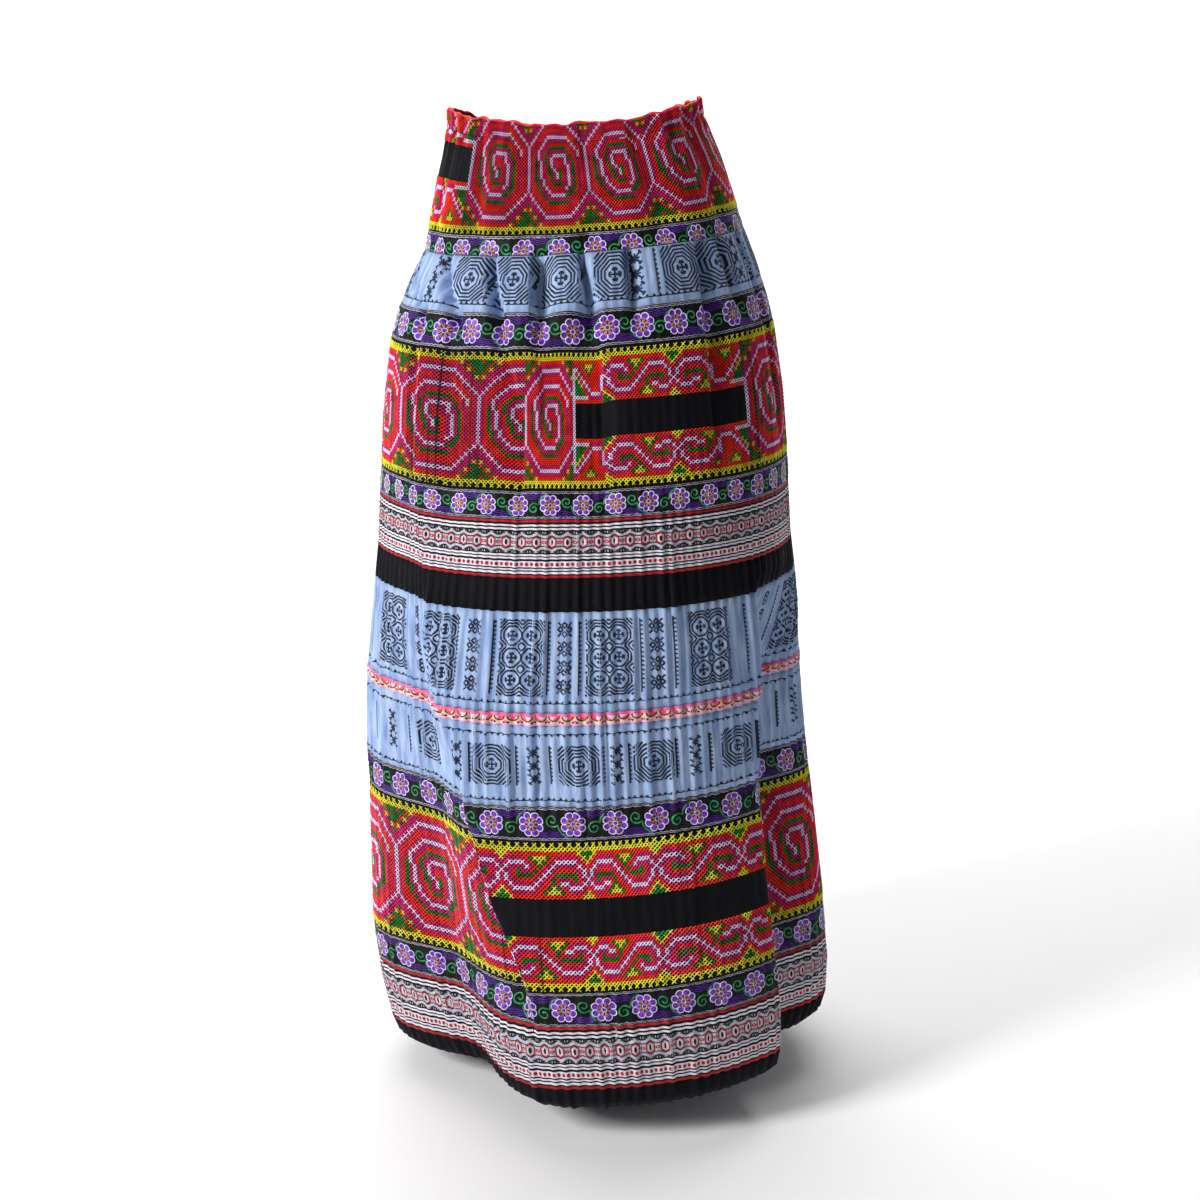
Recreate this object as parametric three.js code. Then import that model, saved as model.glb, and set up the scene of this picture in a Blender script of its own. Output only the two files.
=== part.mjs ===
// Long tiered skirt of Hmong cloth, filled out and hollow, as it stands when it is worn.
// Millimetres, +Z up, the front towards -Y. The origin is the middle of the waist opening.
// Every strip of cloth is one closed ring, and each ring is sewn below the last one.
import * as THREE from 'three';

// Cloth and seams
const CLOTH_WALL = 1.6;
const CASING_WALL = 3.0;
const TRIM_WALL = 2.4;
const SEAM_GAP = 0.3;

// How many columns of points go round a ring
const PLAIN_COLUMNS = 100;
const PLEATS_AT_HEM = 108;
const HEM_COLUMNS = 2 * PLEATS_AT_HEM;

// How square the skirt is in plan: 2 is an ellipse
const SQUARENESS = 2.15;

// Small pleats and puckers
const HEM_PLEAT_DEPTH = 2.6;
const WAIST_PUCKERS = 36;
const WAIST_PUCKER_DEPTH = 2.4;
const WAIST_PUCKERS_END = -58;

// Sections of the skirt. The level is the height of the cloth at the middle of the front.
// The rim stands higher at the sides than at the front and the back, and the tilt lifts the right side.
const SECTIONS = [
  { level: -8, halfWidth: 123, front: 93, back: 90, centre: -1, frontDip: 20, backDip: 32, tilt: 1 },
  { level: -24, halfWidth: 124, front: 96, back: 92, centre: 0, frontDip: 19, backDip: 30, tilt: 2 },
  { level: -60, halfWidth: 138, front: 108, back: 103, centre: 4, frontDip: 14, backDip: 22, tilt: 5 },
  { level: -105, halfWidth: 152, front: 122, back: 116, centre: 7, frontDip: 7, backDip: 12, tilt: 8 },
  { level: -123, halfWidth: 157, front: 127, back: 121, centre: 8, frontDip: 5, backDip: 8, tilt: 9 },
  { level: -150, halfWidth: 170, front: 138, back: 132, centre: 7, frontDip: 4, backDip: 6, tilt: 9 },
  { level: -180, halfWidth: 182, front: 147, back: 141, centre: 6, frontDip: 3, backDip: 4, tilt: 9 },
  { level: -208, halfWidth: 190, front: 152, back: 147, centre: 6, frontDip: 2, backDip: 2, tilt: 9 },
  { level: -275, halfWidth: 200, front: 160, back: 155, centre: 7, frontDip: 0, backDip: 0, tilt: 8 },
  { level: -340, halfWidth: 205, front: 167, back: 161, centre: 8, frontDip: 0, backDip: 0, tilt: 7 },
  { level: -424, halfWidth: 211, front: 175, back: 169, centre: 8, frontDip: 0, backDip: 0, tilt: 5 },
  { level: -500, halfWidth: 220, front: 190, back: 178, centre: 8, frontDip: 0, backDip: 0, tilt: 5 },
  { level: -557, halfWidth: 224, front: 200, back: 184, centre: 7, frontDip: 0, backDip: 0, tilt: 7 },
  { level: -644, halfWidth: 229, front: 206, back: 190, centre: 10, frontDip: 0, backDip: 0, tilt: 9 },
  { level: -740, halfWidth: 236, front: 210, back: 195, centre: 16, frontDip: 0, backDip: 0, tilt: 11 },
  { level: -837, halfWidth: 242, front: 211, back: 199, centre: 22, frontDip: 0, backDip: 0, tilt: 12 },
  { level: -900, halfWidth: 241, front: 211, back: 200, centre: 29, frontDip: 0, backDip: 0, tilt: 13 },
  { level: -944, halfWidth: 237, front: 209, back: 199, centre: 33, frontDip: 0, backDip: 0, tilt: 14 },
  { level: -987, halfWidth: 231, front: 206, back: 196, centre: 34, frontDip: 0, backDip: 0, tilt: 14 },
];

// The broad front panel of the lower tier stands out between two folds. Angles are in degrees,
// 0 at the front and +90 at the right side; the depths say how far the cloth beside it is set back.
const FOLD_EDGES = [
  { level: -8, left: -42, right: 50, leftDepth: 0, rightDepth: 0 },
  { level: -440, left: -42, right: 50, leftDepth: 0, rightDepth: 0 },
  { level: -500, left: -40.5, right: 50, leftDepth: 10, rightDepth: 22 },
  { level: -545, left: -38.7, right: 50, leftDepth: 24, rightDepth: 38 },
  { level: -594, left: -34.4, right: 48.5, leftDepth: 32, rightDepth: 42 },
  { level: -647, left: -30.6, right: 46.5, leftDepth: 38, rightDepth: 44 },
  { level: -740, left: -24.6, right: 46, leftDepth: 48, rightDepth: 46 },
  { level: -829, left: -16.8, right: 46, leftDepth: 58, rightDepth: 46 },
  { level: -987, left: -12, right: 47, leftDepth: 64, rightDepth: 44 },
];
const LEFT_STEP_SHARE = 0.32;
const LEFT_STEP_WIDTH = 3;
const LEFT_DEEPEST = -50;
const LEFT_END = -88;
const RIGHT_STEP_SHARE = 0.88;
const RIGHT_STEP_WIDTH = 2.6;
const RIGHT_DEEPEST = 60;
const RIGHT_END = 87;

// Share of the columns of points at which each fold edge begins and ends
const LEFT_SHARES = [0.36, 0.39];
const RIGHT_SHARES = [0.62, 0.66];

// Soft creases of the yoke: the middle of each trough, its depth and half its width
const YOKE_CREASES = [
  { angle: -163, depth: 3.2, width: 5 },
  { angle: -139, depth: 3.8, width: 5 },
  { angle: -115, depth: 2.8, width: 4 },
  { angle: -92, depth: 3.4, width: 5 },
  { angle: -67, depth: 2.8, width: 4 },
  { angle: -42, depth: 4.2, width: 5 },
  { angle: -20, depth: 4.6, width: 4 },
  { angle: 3, depth: 5.0, width: 4 },
  { angle: 29, depth: 4.6, width: 5 },
  { angle: 58, depth: 3.8, width: 5 },
  { angle: 84, depth: 3.0, width: 4 },
  { angle: 110, depth: 3.6, width: 5 },
  { angle: 136, depth: 3.0, width: 5 },
  { angle: 160, depth: 3.6, width: 4 },
];
const YOKE_CREASES_REACH = [-8, -30, -110, -126];
const CREASE_AT_RIM = 0.4;

// Gathers where the first wide tier is sewn to the yoke: troughs that fade out lower down
const GATHERS = [
  { top: -173, low: -175, depth: 9, width: 3.6, end: -330 },
  { top: -157, low: -160, depth: 8, width: 3.2, end: -400 },
  { top: -141, low: -142, depth: 10, width: 3.6, end: -360 },
  { top: -124, low: -127, depth: 8, width: 3.2, end: -430 },
  { top: -108, low: -109, depth: 9, width: 3.4, end: -340 },
  { top: -92, low: -96, depth: 8, width: 3.2, end: -390 },
  { top: -76, low: -80, depth: 9, width: 3.4, end: -330 },
  { top: -61, low: -66, depth: 7, width: 3.0, end: -300 },
  { top: -45, low: -53, depth: 11, width: 3.6, end: -400 },
  { top: -28, low: -29, depth: 9, width: 3.4, end: -300 },
  { top: -14, low: -15, depth: 11, width: 3.6, end: -440 },
  { top: 1, low: 6, depth: 11, width: 3.6, end: -420 },
  { top: 17, low: 19, depth: 9, width: 3.2, end: -290 },
  { top: 38, low: 37, depth: 12, width: 3.8, end: -440 },
  { top: 51, low: 53, depth: 8, width: 3.2, end: -310 },
  { top: 67, low: 69, depth: 9, width: 3.4, end: -360 },
  { top: 84, low: 88, depth: 8, width: 3.2, end: -330 },
  { top: 101, low: 103, depth: 10, width: 3.6, end: -410 },
  { top: 118, low: 121, depth: 8, width: 3.2, end: -320 },
  { top: 135, low: 136, depth: 9, width: 3.6, end: -430 },
  { top: 152, low: 154, depth: 9, width: 3.2, end: -350 },
  { top: 168, low: 169, depth: 8, width: 3.4, end: -390 },
];
const GATHERS_ABOVE = -116;
const GATHERS_START = -124;
const GATHERS_FULL = -150;
const GATHERS_LOW = -248;
const GATHERS_LOW_SHARE = 0.55;
const GATHERS_FADE_FROM = -238;
const GATHERS_WIDEN = 0.6;

// Broad soft folds of the lower tier
const LOWER_FOLDS = [
  { angle: -150, depth: 9, width: 8, start: -470, end: -700 },
  { angle: -112, depth: 10, width: 9, start: -500, end: -800 },
  { angle: -10, depth: 8, width: 5, start: -585, end: -618 },
  { angle: 112, depth: 10, width: 9, start: -500, end: -820 },
  { angle: 148, depth: 9, width: 8, start: -470, end: -720 },
];
const LOWER_FOLD_FADE = 45;

// The strips from the waist down: heights at the middle of the front, rows of points down the strip
const STRIPS = [
  { name: 'waist_casing', top: -8, bottom: -24, rows: 2, wall: CASING_WALL, tone: '#b3241f', rough: 0.85 },
  { name: 'yoke_cross_stitch_panel', top: -24, bottom: -105, rows: 3, wall: CLOTH_WALL, tone: '#c0261f', rough: 0.85 },
  { name: 'yoke_flower_ribbon', top: -105, bottom: -123, rows: 2, wall: CLOTH_WALL, tone: '#3b2754', rough: 0.6 },
  { name: 'gathered_batik_band', top: -123, bottom: -174, rows: 3, wall: CLOTH_WALL, tone: '#8fa9cc', rough: 0.9 },
  { name: 'upper_flower_ribbon', top: -174, bottom: -208, rows: 2, wall: CLOTH_WALL, tone: '#3b2754', rough: 0.6 },
  { name: 'upper_cross_stitch_panel', top: -208, bottom: -340, rows: 3, wall: CLOTH_WALL, tone: '#c0261f', rough: 0.85 },
  { name: 'middle_flower_ribbon', top: -340, bottom: -368, rows: 2, wall: CLOTH_WALL, tone: '#3b2754', rough: 0.6 },
  { name: 'upper_stripe_band', top: -368, bottom: -424, rows: 2, wall: CLOTH_WALL, tone: '#7f7486', rough: 0.9 },
  { name: 'black_band', top: -424, bottom: -456, rows: 2, wall: CLOTH_WALL, tone: '#0a0a0e', rough: 0.85 },
  { name: 'box_motif_batik_band', top: -456, bottom: -551, rows: 3, wall: CLOTH_WALL, tone: '#9db5d6', rough: 0.9 },
  { name: 'pink_trim', top: -551, bottom: -563, rows: 2, wall: TRIM_WALL, tone: '#e0507f', rough: 0.6 },
  { name: 'octagon_motif_batik_band', top: -563, bottom: -644, rows: 2, wall: CLOTH_WALL, tone: '#9db5d6', rough: 0.9 },
  { name: 'lower_flower_ribbon', top: -644, bottom: -678, rows: 2, wall: CLOTH_WALL, tone: '#3b2754', rough: 0.6 },
  { name: 'lower_cross_stitch_panel', top: -678, bottom: -837, rows: 3, wall: CLOTH_WALL, tone: '#c0261f', rough: 0.85 },
  { name: 'bottom_flower_ribbon', top: -837, bottom: -874, rows: 2, wall: CLOTH_WALL, tone: '#3b2754', rough: 0.6 },
  { name: 'lower_stripe_band', top: -874, bottom: -944, rows: 2, wall: CLOTH_WALL, tone: '#7f7486', rough: 0.9, pleated: true },
  { name: 'black_hem_band', top: -944, bottom: -987, rows: 2, wall: CLOTH_WALL, tone: '#0a0a0e', rough: 0.85, pleated: true },
];

// A soft step from 0 to 1 between two values
function softStep(from, to, value) {
  const share = Math.min(1, Math.max(0, (value - from) / (to - from)));
  return share * share * (3 - 2 * share);
}

// One row of a table at a level, every column read between the two rows around it
function rowAt(table, level) {
  const last = table.length - 1;
  if (level >= table[0].level) return table[0];
  if (level <= table[last].level) return table[last];
  const lower = table.findIndex((row) => row.level <= level);
  const above = table[lower - 1];
  const below = table[lower];
  const share = (above.level - level) / (above.level - below.level);
  const row = {};
  for (const column of Object.keys(above)) {
    row[column] = above[column] + (below[column] - above[column]) * share;
  }
  return row;
}

// The short way round from one angle to another, in degrees
function turnBetween(from, to) {
  return ((to - from + 540) % 360) - 180;
}

// A rounded trough of a given middle and half width
function trough(angle, middle, width) {
  const away = turnBetween(middle, angle) / width;
  return Math.exp(-away * away);
}

// The angle of one column of points: the columns crowd at the two edges of the front panel
function columnAngle(share, level) {
  const edges = rowAt(FOLD_EDGES, level);
  const stops = [
    [0, -180],
    [LEFT_SHARES[0], edges.left - LEFT_STEP_WIDTH],
    [LEFT_SHARES[1], edges.left],
    [RIGHT_SHARES[0], edges.right],
    [RIGHT_SHARES[1], edges.right + RIGHT_STEP_WIDTH],
    [1, 180],
  ];
  const next = stops.findIndex((stop) => stop[0] > share);
  const [shareA, angleA] = stops[next - 1];
  const [shareB, angleB] = stops[next];
  return angleA + ((angleB - angleA) * (share - shareA)) / (shareB - shareA);
}

// How far the cloth beside the front panel is set back
function panelSetBack(angle, level) {
  const edges = rowAt(FOLD_EDGES, level);
  if (angle < edges.left && angle > LEFT_END) {
    const step = softStep(edges.left, edges.left - LEFT_STEP_WIDTH, angle) * LEFT_STEP_SHARE;
    const deepen = softStep(edges.left, LEFT_DEEPEST, angle) * (1 - LEFT_STEP_SHARE);
    return (step + deepen) * edges.leftDepth * softStep(LEFT_END, LEFT_DEEPEST, angle);
  }
  if (angle > edges.right && angle < RIGHT_END) {
    const step = softStep(edges.right, edges.right + RIGHT_STEP_WIDTH, angle) * RIGHT_STEP_SHARE;
    const deepen = softStep(edges.right, RIGHT_DEEPEST, angle) * (1 - RIGHT_STEP_SHARE);
    return (step + deepen) * edges.rightDepth * softStep(RIGHT_END, RIGHT_DEEPEST, angle);
  }
  return 0;
}

// Waist puckers and the creases of the yoke
function yokeRelief(angle, level) {
  const [rim, full, fade, end] = YOKE_CREASES_REACH;
  const deepened = CREASE_AT_RIM + (1 - CREASE_AT_RIM) * softStep(rim, full, level);
  const reach = deepened * softStep(end, fade, level);
  let depth = 0;
  for (const crease of YOKE_CREASES) {
    depth += crease.depth * trough(angle, crease.angle, crease.width);
  }
  const pucker = (Math.cos((WAIST_PUCKERS * angle * Math.PI) / 180) * WAIST_PUCKER_DEPTH) / 2;
  return -depth * reach + pucker * softStep(WAIST_PUCKERS_END, full, level);
}

// Gathers below the yoke seam
function gatherRelief(angle, level) {
  if (level > GATHERS_START) return 0;
  let depth = 0;
  for (const gather of GATHERS) {
    const drift = Math.min(1, (GATHERS_START - level) / (GATHERS_START - GATHERS_LOW));
    const middle = gather.top + (gather.low - gather.top) * drift;
    const opened = softStep(GATHERS_ABOVE, GATHERS_FULL, level);
    const eased = 1 - (1 - GATHERS_LOW_SHARE) * softStep(GATHERS_FULL, GATHERS_LOW, level);
    const ended = softStep(gather.end, GATHERS_FADE_FROM, level);
    const width = gather.width * (1 + GATHERS_WIDEN * drift);
    depth += gather.depth * opened * eased * ended * trough(angle, middle, width);
  }
  return -depth;
}

// Broad folds of the lower tier
function lowerRelief(angle, level) {
  let depth = 0;
  for (const fold of LOWER_FOLDS) {
    const begun = softStep(fold.start, fold.start - LOWER_FOLD_FADE, level);
    const ended = softStep(fold.end - LOWER_FOLD_FADE, fold.end, level);
    depth += fold.depth * begun * ended * trough(angle, fold.angle, fold.width);
  }
  return -depth;
}

// A point on the outer face of the cloth at a share of the way round and a level
function clothPoint(share, level) {
  const angle = columnAngle(share, level);
  const row = rowAt(SECTIONS, level);
  const turn = (angle * Math.PI) / 180;
  const sine = Math.sin(turn);
  const cosine = Math.cos(turn);
  const swell = (Math.abs(sine) ** SQUARENESS + Math.abs(cosine) ** SQUARENESS) ** (-1 / SQUARENESS);
  const depth = cosine > 0 ? row.front : row.back;
  const dip = cosine > 0 ? row.frontDip : row.backDip;
  const outward = new THREE.Vector2(sine / row.halfWidth, -cosine / depth).normalize();
  const relief =
    yokeRelief(angle, level) + gatherRelief(angle, level) + lowerRelief(angle, level) - panelSetBack(angle, level);
  return new THREE.Vector3(
    row.centre + row.halfWidth * sine * swell + outward.x * relief,
    -depth * cosine * swell + outward.y * relief,
    level + row.frontDip - dip * cosine * cosine + row.tilt * sine,
  );
}

// The outward direction in plan at each point of a closed row, lengthened at corners so the wall stays even
function outwardOf(row) {
  const count = row.length;
  return row.map((point, i) => {
    const before = row[(i + count - 1) % count];
    const after = row[(i + 1) % count];
    const inSide = new THREE.Vector2(point.y - before.y, before.x - point.x).normalize();
    const outSide = new THREE.Vector2(after.y - point.y, point.x - after.x).normalize();
    const middle = inSide.clone().add(outSide).normalize();
    return middle.multiplyScalar(1 / Math.max(0.7, middle.dot(inSide)));
  });
}

// A row of points moved along its outward directions
function movedRow(row, directions, distance) {
  return row.map((point, i) => {
    const shift = directions[i];
    return new THREE.Vector3(point.x + shift.x * distance, point.y + shift.y * distance, point.z);
  });
}

// The outer and inner rows of one strip, from its top edge to its bottom edge
function stripRows(strip) {
  const columns = strip.pleated ? HEM_COLUMNS : PLAIN_COLUMNS;
  const outer = [];
  const inner = [];
  for (let r = 0; r < strip.rows; r += 1) {
    const share = r / (strip.rows - 1);
    const top = strip.top - SEAM_GAP / 2;
    const bottom = strip.bottom + SEAM_GAP / 2;
    const level = top + (bottom - top) * share;
    let row = [];
    for (let i = 0; i < columns; i += 1) {
      row.push(clothPoint(i / columns, level));
    }
    const directions = outwardOf(row);
    if (strip.pleated) {
      row = row.map((point, i) => movedRow([point], [directions[i]], (i % 2) * -HEM_PLEAT_DEPTH)[0]);
    }
    outer.push(row);
    inner.push(movedRow(row, directions, -strip.wall));
  }
  return { outer, inner, columns };
}

// The closed wall of one strip as a mesh
function makeStrip(strip) {
  const { outer, inner, columns } = stripRows(strip);
  const rings = [...outer, ...inner.reverse()];
  const positions = [];
  for (const ring of rings) {
    for (const point of ring) positions.push(point.x, point.y, point.z);
  }
  const indices = [];
  for (let r = 0; r < rings.length; r += 1) {
    const here = r * columns;
    const next = ((r + 1) % rings.length) * columns;
    for (let i = 0; i < columns; i += 1) {
      const j = (i + 1) % columns;
      indices.push(here + i, next + i, next + j);
      indices.push(here + i, next + j, here + j);
    }
  }
  const geometry = new THREE.BufferGeometry();
  geometry.setAttribute('position', new THREE.Float32BufferAttribute(positions, 3));
  geometry.setIndex(indices);
  geometry.computeVertexNormals();
  const material = new THREE.MeshStandardMaterial({ color: strip.tone, roughness: strip.rough, metalness: 0 });
  const mesh = new THREE.Mesh(geometry, material);
  mesh.name = strip.name;
  return mesh;
}

const skirt = new THREE.Group();
skirt.name = 'hmong_skirt';
for (const strip of STRIPS) {
  skirt.add(makeStrip(strip));
}

export default skirt;
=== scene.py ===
# A long tiered skirt of pleated Hmong cloth on a pale floor. Scene in metres, tables in millimetres.
import math

import bpy
import numpy as np
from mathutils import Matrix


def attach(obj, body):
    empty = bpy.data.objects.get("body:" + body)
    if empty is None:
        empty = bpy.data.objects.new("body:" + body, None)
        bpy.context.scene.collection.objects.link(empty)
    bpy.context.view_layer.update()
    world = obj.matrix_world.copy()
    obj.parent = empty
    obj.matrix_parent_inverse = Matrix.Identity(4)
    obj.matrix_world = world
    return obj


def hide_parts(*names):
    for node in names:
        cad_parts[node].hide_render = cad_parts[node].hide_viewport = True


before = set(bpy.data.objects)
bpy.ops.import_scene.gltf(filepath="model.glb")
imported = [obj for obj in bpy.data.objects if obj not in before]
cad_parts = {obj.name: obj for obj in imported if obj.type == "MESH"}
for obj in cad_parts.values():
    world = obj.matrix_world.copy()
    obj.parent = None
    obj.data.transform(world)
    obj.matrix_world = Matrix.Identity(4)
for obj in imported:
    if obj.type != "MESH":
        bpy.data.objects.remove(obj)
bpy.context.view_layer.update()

# The studio: a pale floor that runs up into the backdrop, a large soft lamp at the upper left and one on the
# backdrop. A weak fill lamp stands at the right, where the skirt falls into shade as in the photograph.
FLOOR_LEVEL = -1.012
FLOOR_HALF = 6.0
BACKDROP_AT = 1200
BACKDROP_BEND = 1400
BEND_STEPS = 13
FLOOR_TONE = "#FAFAFA"
CAMERA_AT = (0.024, -2.064, 0.078)
CAMERA_PITCH = 15.5
CAMERA_REACH = 50
FOCAL_PIXELS = 2060
PHOTO_PIXELS = 1200
SENSOR = 36.0
AIR_TONE = "#F4F6FA"
AIR_STRENGTH = 0.18


def linear(tone):
    """An sRGB hex value as linear red, green, blue and alpha."""
    parts = [int(tone[i:i + 2], 16) / 255 for i in (1, 3, 5)]
    return [p / 12.92 if p <= 0.04045 else ((p + 0.055) / 1.055) ** 2.4 for p in parts] + [1.0]


def node(tree, kind, settings=None, values=None, links=None):
    """Adds a node, sets its own settings and its sockets, and links other nodes' sockets to it."""
    made = tree.nodes.new(kind)
    for name, value in (settings or {}).items():
        setattr(made, name, value)
    for name, value in (values or {}).items():
        made.inputs[name].default_value = value
    for name, source in (links or {}).items():
        tree.links.new(source, made.inputs[name])
    return made


def new_material(name):
    """An empty material with its output node, its shader and its tree."""
    material = bpy.data.materials.new(name)
    material.use_nodes = True
    tree = material.node_tree
    tree.nodes.clear()
    out = node(tree, "ShaderNodeOutputMaterial")
    shader = node(tree, "ShaderNodeBsdfPrincipled")
    tree.links.new(shader.outputs["BSDF"], out.inputs["Surface"])
    return material, tree, shader


def add_mesh(name, points, faces, materials, smooth=True):
    """A mesh piece from points in millimetres."""
    mesh = bpy.data.meshes.new(name)
    mesh.from_pydata((np.asarray(points) / 1000).tolist(), [], faces)
    for material in materials:
        mesh.materials.append(material)
    mesh.polygons.foreach_set("use_smooth", [smooth] * len(mesh.polygons))
    piece = bpy.data.objects.new(name, mesh)
    bpy.context.scene.collection.objects.link(piece)
    return piece


# Matt white studio paint: its mottle is so faint that only the falling off of the light shows.
floor_material, floor_tree, floor_shader = new_material("studio_floor_paint")
floor_shader.inputs["Base Color"].default_value = linear(FLOOR_TONE)
floor_shader.inputs["Roughness"].default_value = 0.9
floor_mottle = node(floor_tree, "ShaderNodeTexNoise", values={"Scale": 3.0, "Detail": 2.0})
floor_bump = node(
    floor_tree, "ShaderNodeBump",
    values={"Strength": 0.02, "Distance": 0.002},
    links={"Height": floor_mottle.outputs["Fac"]},
)
floor_tree.links.new(floor_bump.outputs["Normal"], floor_shader.inputs["Normal"])
floor_mm = FLOOR_HALF * 1000
floor_z = FLOOR_LEVEL * 1000
profile = [(-floor_mm, floor_z)]
for turn in np.linspace(0, math.pi / 2, BEND_STEPS):
    back = BACKDROP_AT + BACKDROP_BEND * math.sin(turn)
    profile.append((back, floor_z + BACKDROP_BEND * (1 - math.cos(turn))))
profile.append((BACKDROP_AT + BACKDROP_BEND, floor_mm))
floor = add_mesh(
    "studio_floor",
    [(x, y, z) for y, z in profile for x in (-floor_mm, floor_mm)],
    [(2 * i, 2 * i + 1, 2 * i + 3, 2 * i + 2) for i in range(len(profile) - 1)],
    [floor_material],
)

camera_data = bpy.data.cameras.new("camera")
camera_data.sensor_width = SENSOR
camera_data.lens = FOCAL_PIXELS / PHOTO_PIXELS * SENSOR
camera_data.clip_end = CAMERA_REACH
camera = bpy.data.objects.new("camera", camera_data)
camera.location = CAMERA_AT
camera.rotation_euler = (math.radians(90 - CAMERA_PITCH), 0, 0)
bpy.context.scene.collection.objects.link(camera)
bpy.context.scene.camera = camera

# name, place, aim, width, height, power
LAMPS = [
    ("window_light", (-2.5, -1.7, 1.0), (0.0, 0.0, -0.45), 0.9, 1.1, 116),
    ("fill_light", (2.4, -2.6, 0.8), (0.0, 0.0, -0.5), 1.6, 1.6, 1.5),
    ("backdrop_light", (0.0, 0.9, 2.2), (0.0, 2.6, -0.4), 3.0, 1.0, 90),
]
for lamp_name, place, aim, lamp_width, lamp_height, power in LAMPS:
    lamp_data = bpy.data.lights.new(lamp_name, "AREA")
    lamp_data.shape = "RECTANGLE"
    lamp_data.size = lamp_width
    lamp_data.size_y = lamp_height
    lamp_data.energy = power
    lamp = bpy.data.objects.new(lamp_name, lamp_data)
    lamp.location = place
    heading = np.array(aim) - np.array(place)
    lamp.rotation_euler = (
        math.acos(-heading[2] / np.linalg.norm(heading)), 0, math.atan2(heading[1], heading[0]) - math.pi / 2
    )
    bpy.context.scene.collection.objects.link(lamp)

world = bpy.data.worlds.new("studio_air")
world.use_nodes = True
world.node_tree.nodes["Background"].inputs["Color"].default_value = linear(AIR_TONE)
world.node_tree.nodes["Background"].inputs["Strength"].default_value = AIR_STRENGTH
bpy.context.scene.world = world
bpy.context.scene.view_settings.view_transform = "Standard"

# Waist casing: the top of the yoke cloth turned over a flat elastic, so its rim is puckered.
# It is the first of the rings of cloth, and the tables here say how all of them stand when worn.
SQUARENESS = 2.15
# level at the middle of the front, half width, front, back, centre, front dip, back dip, tilt
SECTIONS = [
    (-8, 123, 93, 90, -1, 15.5, 27, 5),
    (-24, 124, 96, 92, 0, 15, 26, 5.5),
    (-60, 138, 108, 103, 4, 11, 19, 7.5),
    (-105, 152, 122, 116, 7, 4.5, 10, 10.5),
    (-123, 157, 127, 121, 8, 3, 6, 11),
    (-150, 170, 138, 132, 7, 2, 4, 10.5),
    (-180, 182, 147, 141, 6, 1.5, 3, 10),
    (-208, 190, 152, 147, 6, 1.5, 2, 9.5),
    (-275, 200, 160, 155, 7, 0, 0, 8),
    (-340, 205, 167, 161, 8, 0, 0, 7),
    (-424, 211, 175, 169, 8, 0, 0, 5),
    (-500, 220, 190, 178, 8, 0, 0, 5),
    (-557, 224, 200, 184, 7, 0, 0, 7),
    (-644, 229, 206, 190, 10, 0, 0, 9),
    (-740, 236, 210, 195, 16, 0, 0, 11),
    (-837, 242, 211, 199, 22, 0, 0, 12),
    (-900, 241, 211, 200, 29, 0, 0, 13),
    (-944, 236, 208, 199, 33, 0, 0, 14),
    (-966, 230, 205, 195, 34, 0, 0, 13),
    (-987, 215, 195, 186, 36, 0, 0, 12),
]
# The hem curls in under the skirt, so it hangs less far down: length of cloth from the waist, height
HEM_CURL = [(0, 0), (-944, -944), (-966, -962), (-987, -972)]
# level, left edge, right edge, depth beside the left edge, depth beside the right edge
FOLD_EDGES = [
    (-8, -56, 50, 0, 0),
    (-208, -56, 50, 0, 0),
    (-272, -54, 50, 3, 0),
    (-340, -50.5, 50, 5, 0),
    (-440, -45.3, 50, 10, 0),
    (-500, -42.5, 50, 16, 22),
    (-545, -39.5, 50, 25, 38),
    (-594, -34.4, 48.5, 32, 42),
    (-647, -30.6, 46.5, 38, 44),
    (-740, -24.6, 46, 48, 46),
    (-829, -16.8, 46, 58, 46),
    (-987, -12, 47, 64, 44),
]
# The step beside each edge: share of its depth that drops at once, within how many degrees, the angles where
# it is deepest and where it has ended, and the levels between which the sharp part softens
LEFT_STEP = {"share": 0.34, "width": 2, "deepest": -50, "end": -88, "softens": (-830, -905)}
RIGHT_STEP = {"share": 0.88, "width": 2.6, "deepest": 60, "end": 87, "softens": (-960, -1000)}
# least degrees from the edge to where it is deepest, and from there to its end
STEP_RUN = 10
STEP_EASE = 25
# angle, depth, width
YOKE_CREASES = [
    (-163, 3.2, 5), (-139, 3.8, 5), (-115, 2.8, 4), (-92, 3.4, 5), (-67, 2.8, 4), (-42, 4.2, 5),
    (-20, 4.6, 4), (3, 5.0, 4), (29, 4.6, 5), (58, 3.8, 5), (84, 3.0, 4), (110, 3.6, 5), (136, 3.0, 5),
    (160, 3.6, 4),
]
WAIST_PUCKERS = 36
WAIST_PUCKER_DEPTH = 2.4
# waves round the rim, height, turn: the elastic draws the edge up unevenly
RIM_WAVES = [(9, 1.0, 40), (23, 0.8, 10), (41, 0.5, 70)]
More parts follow.
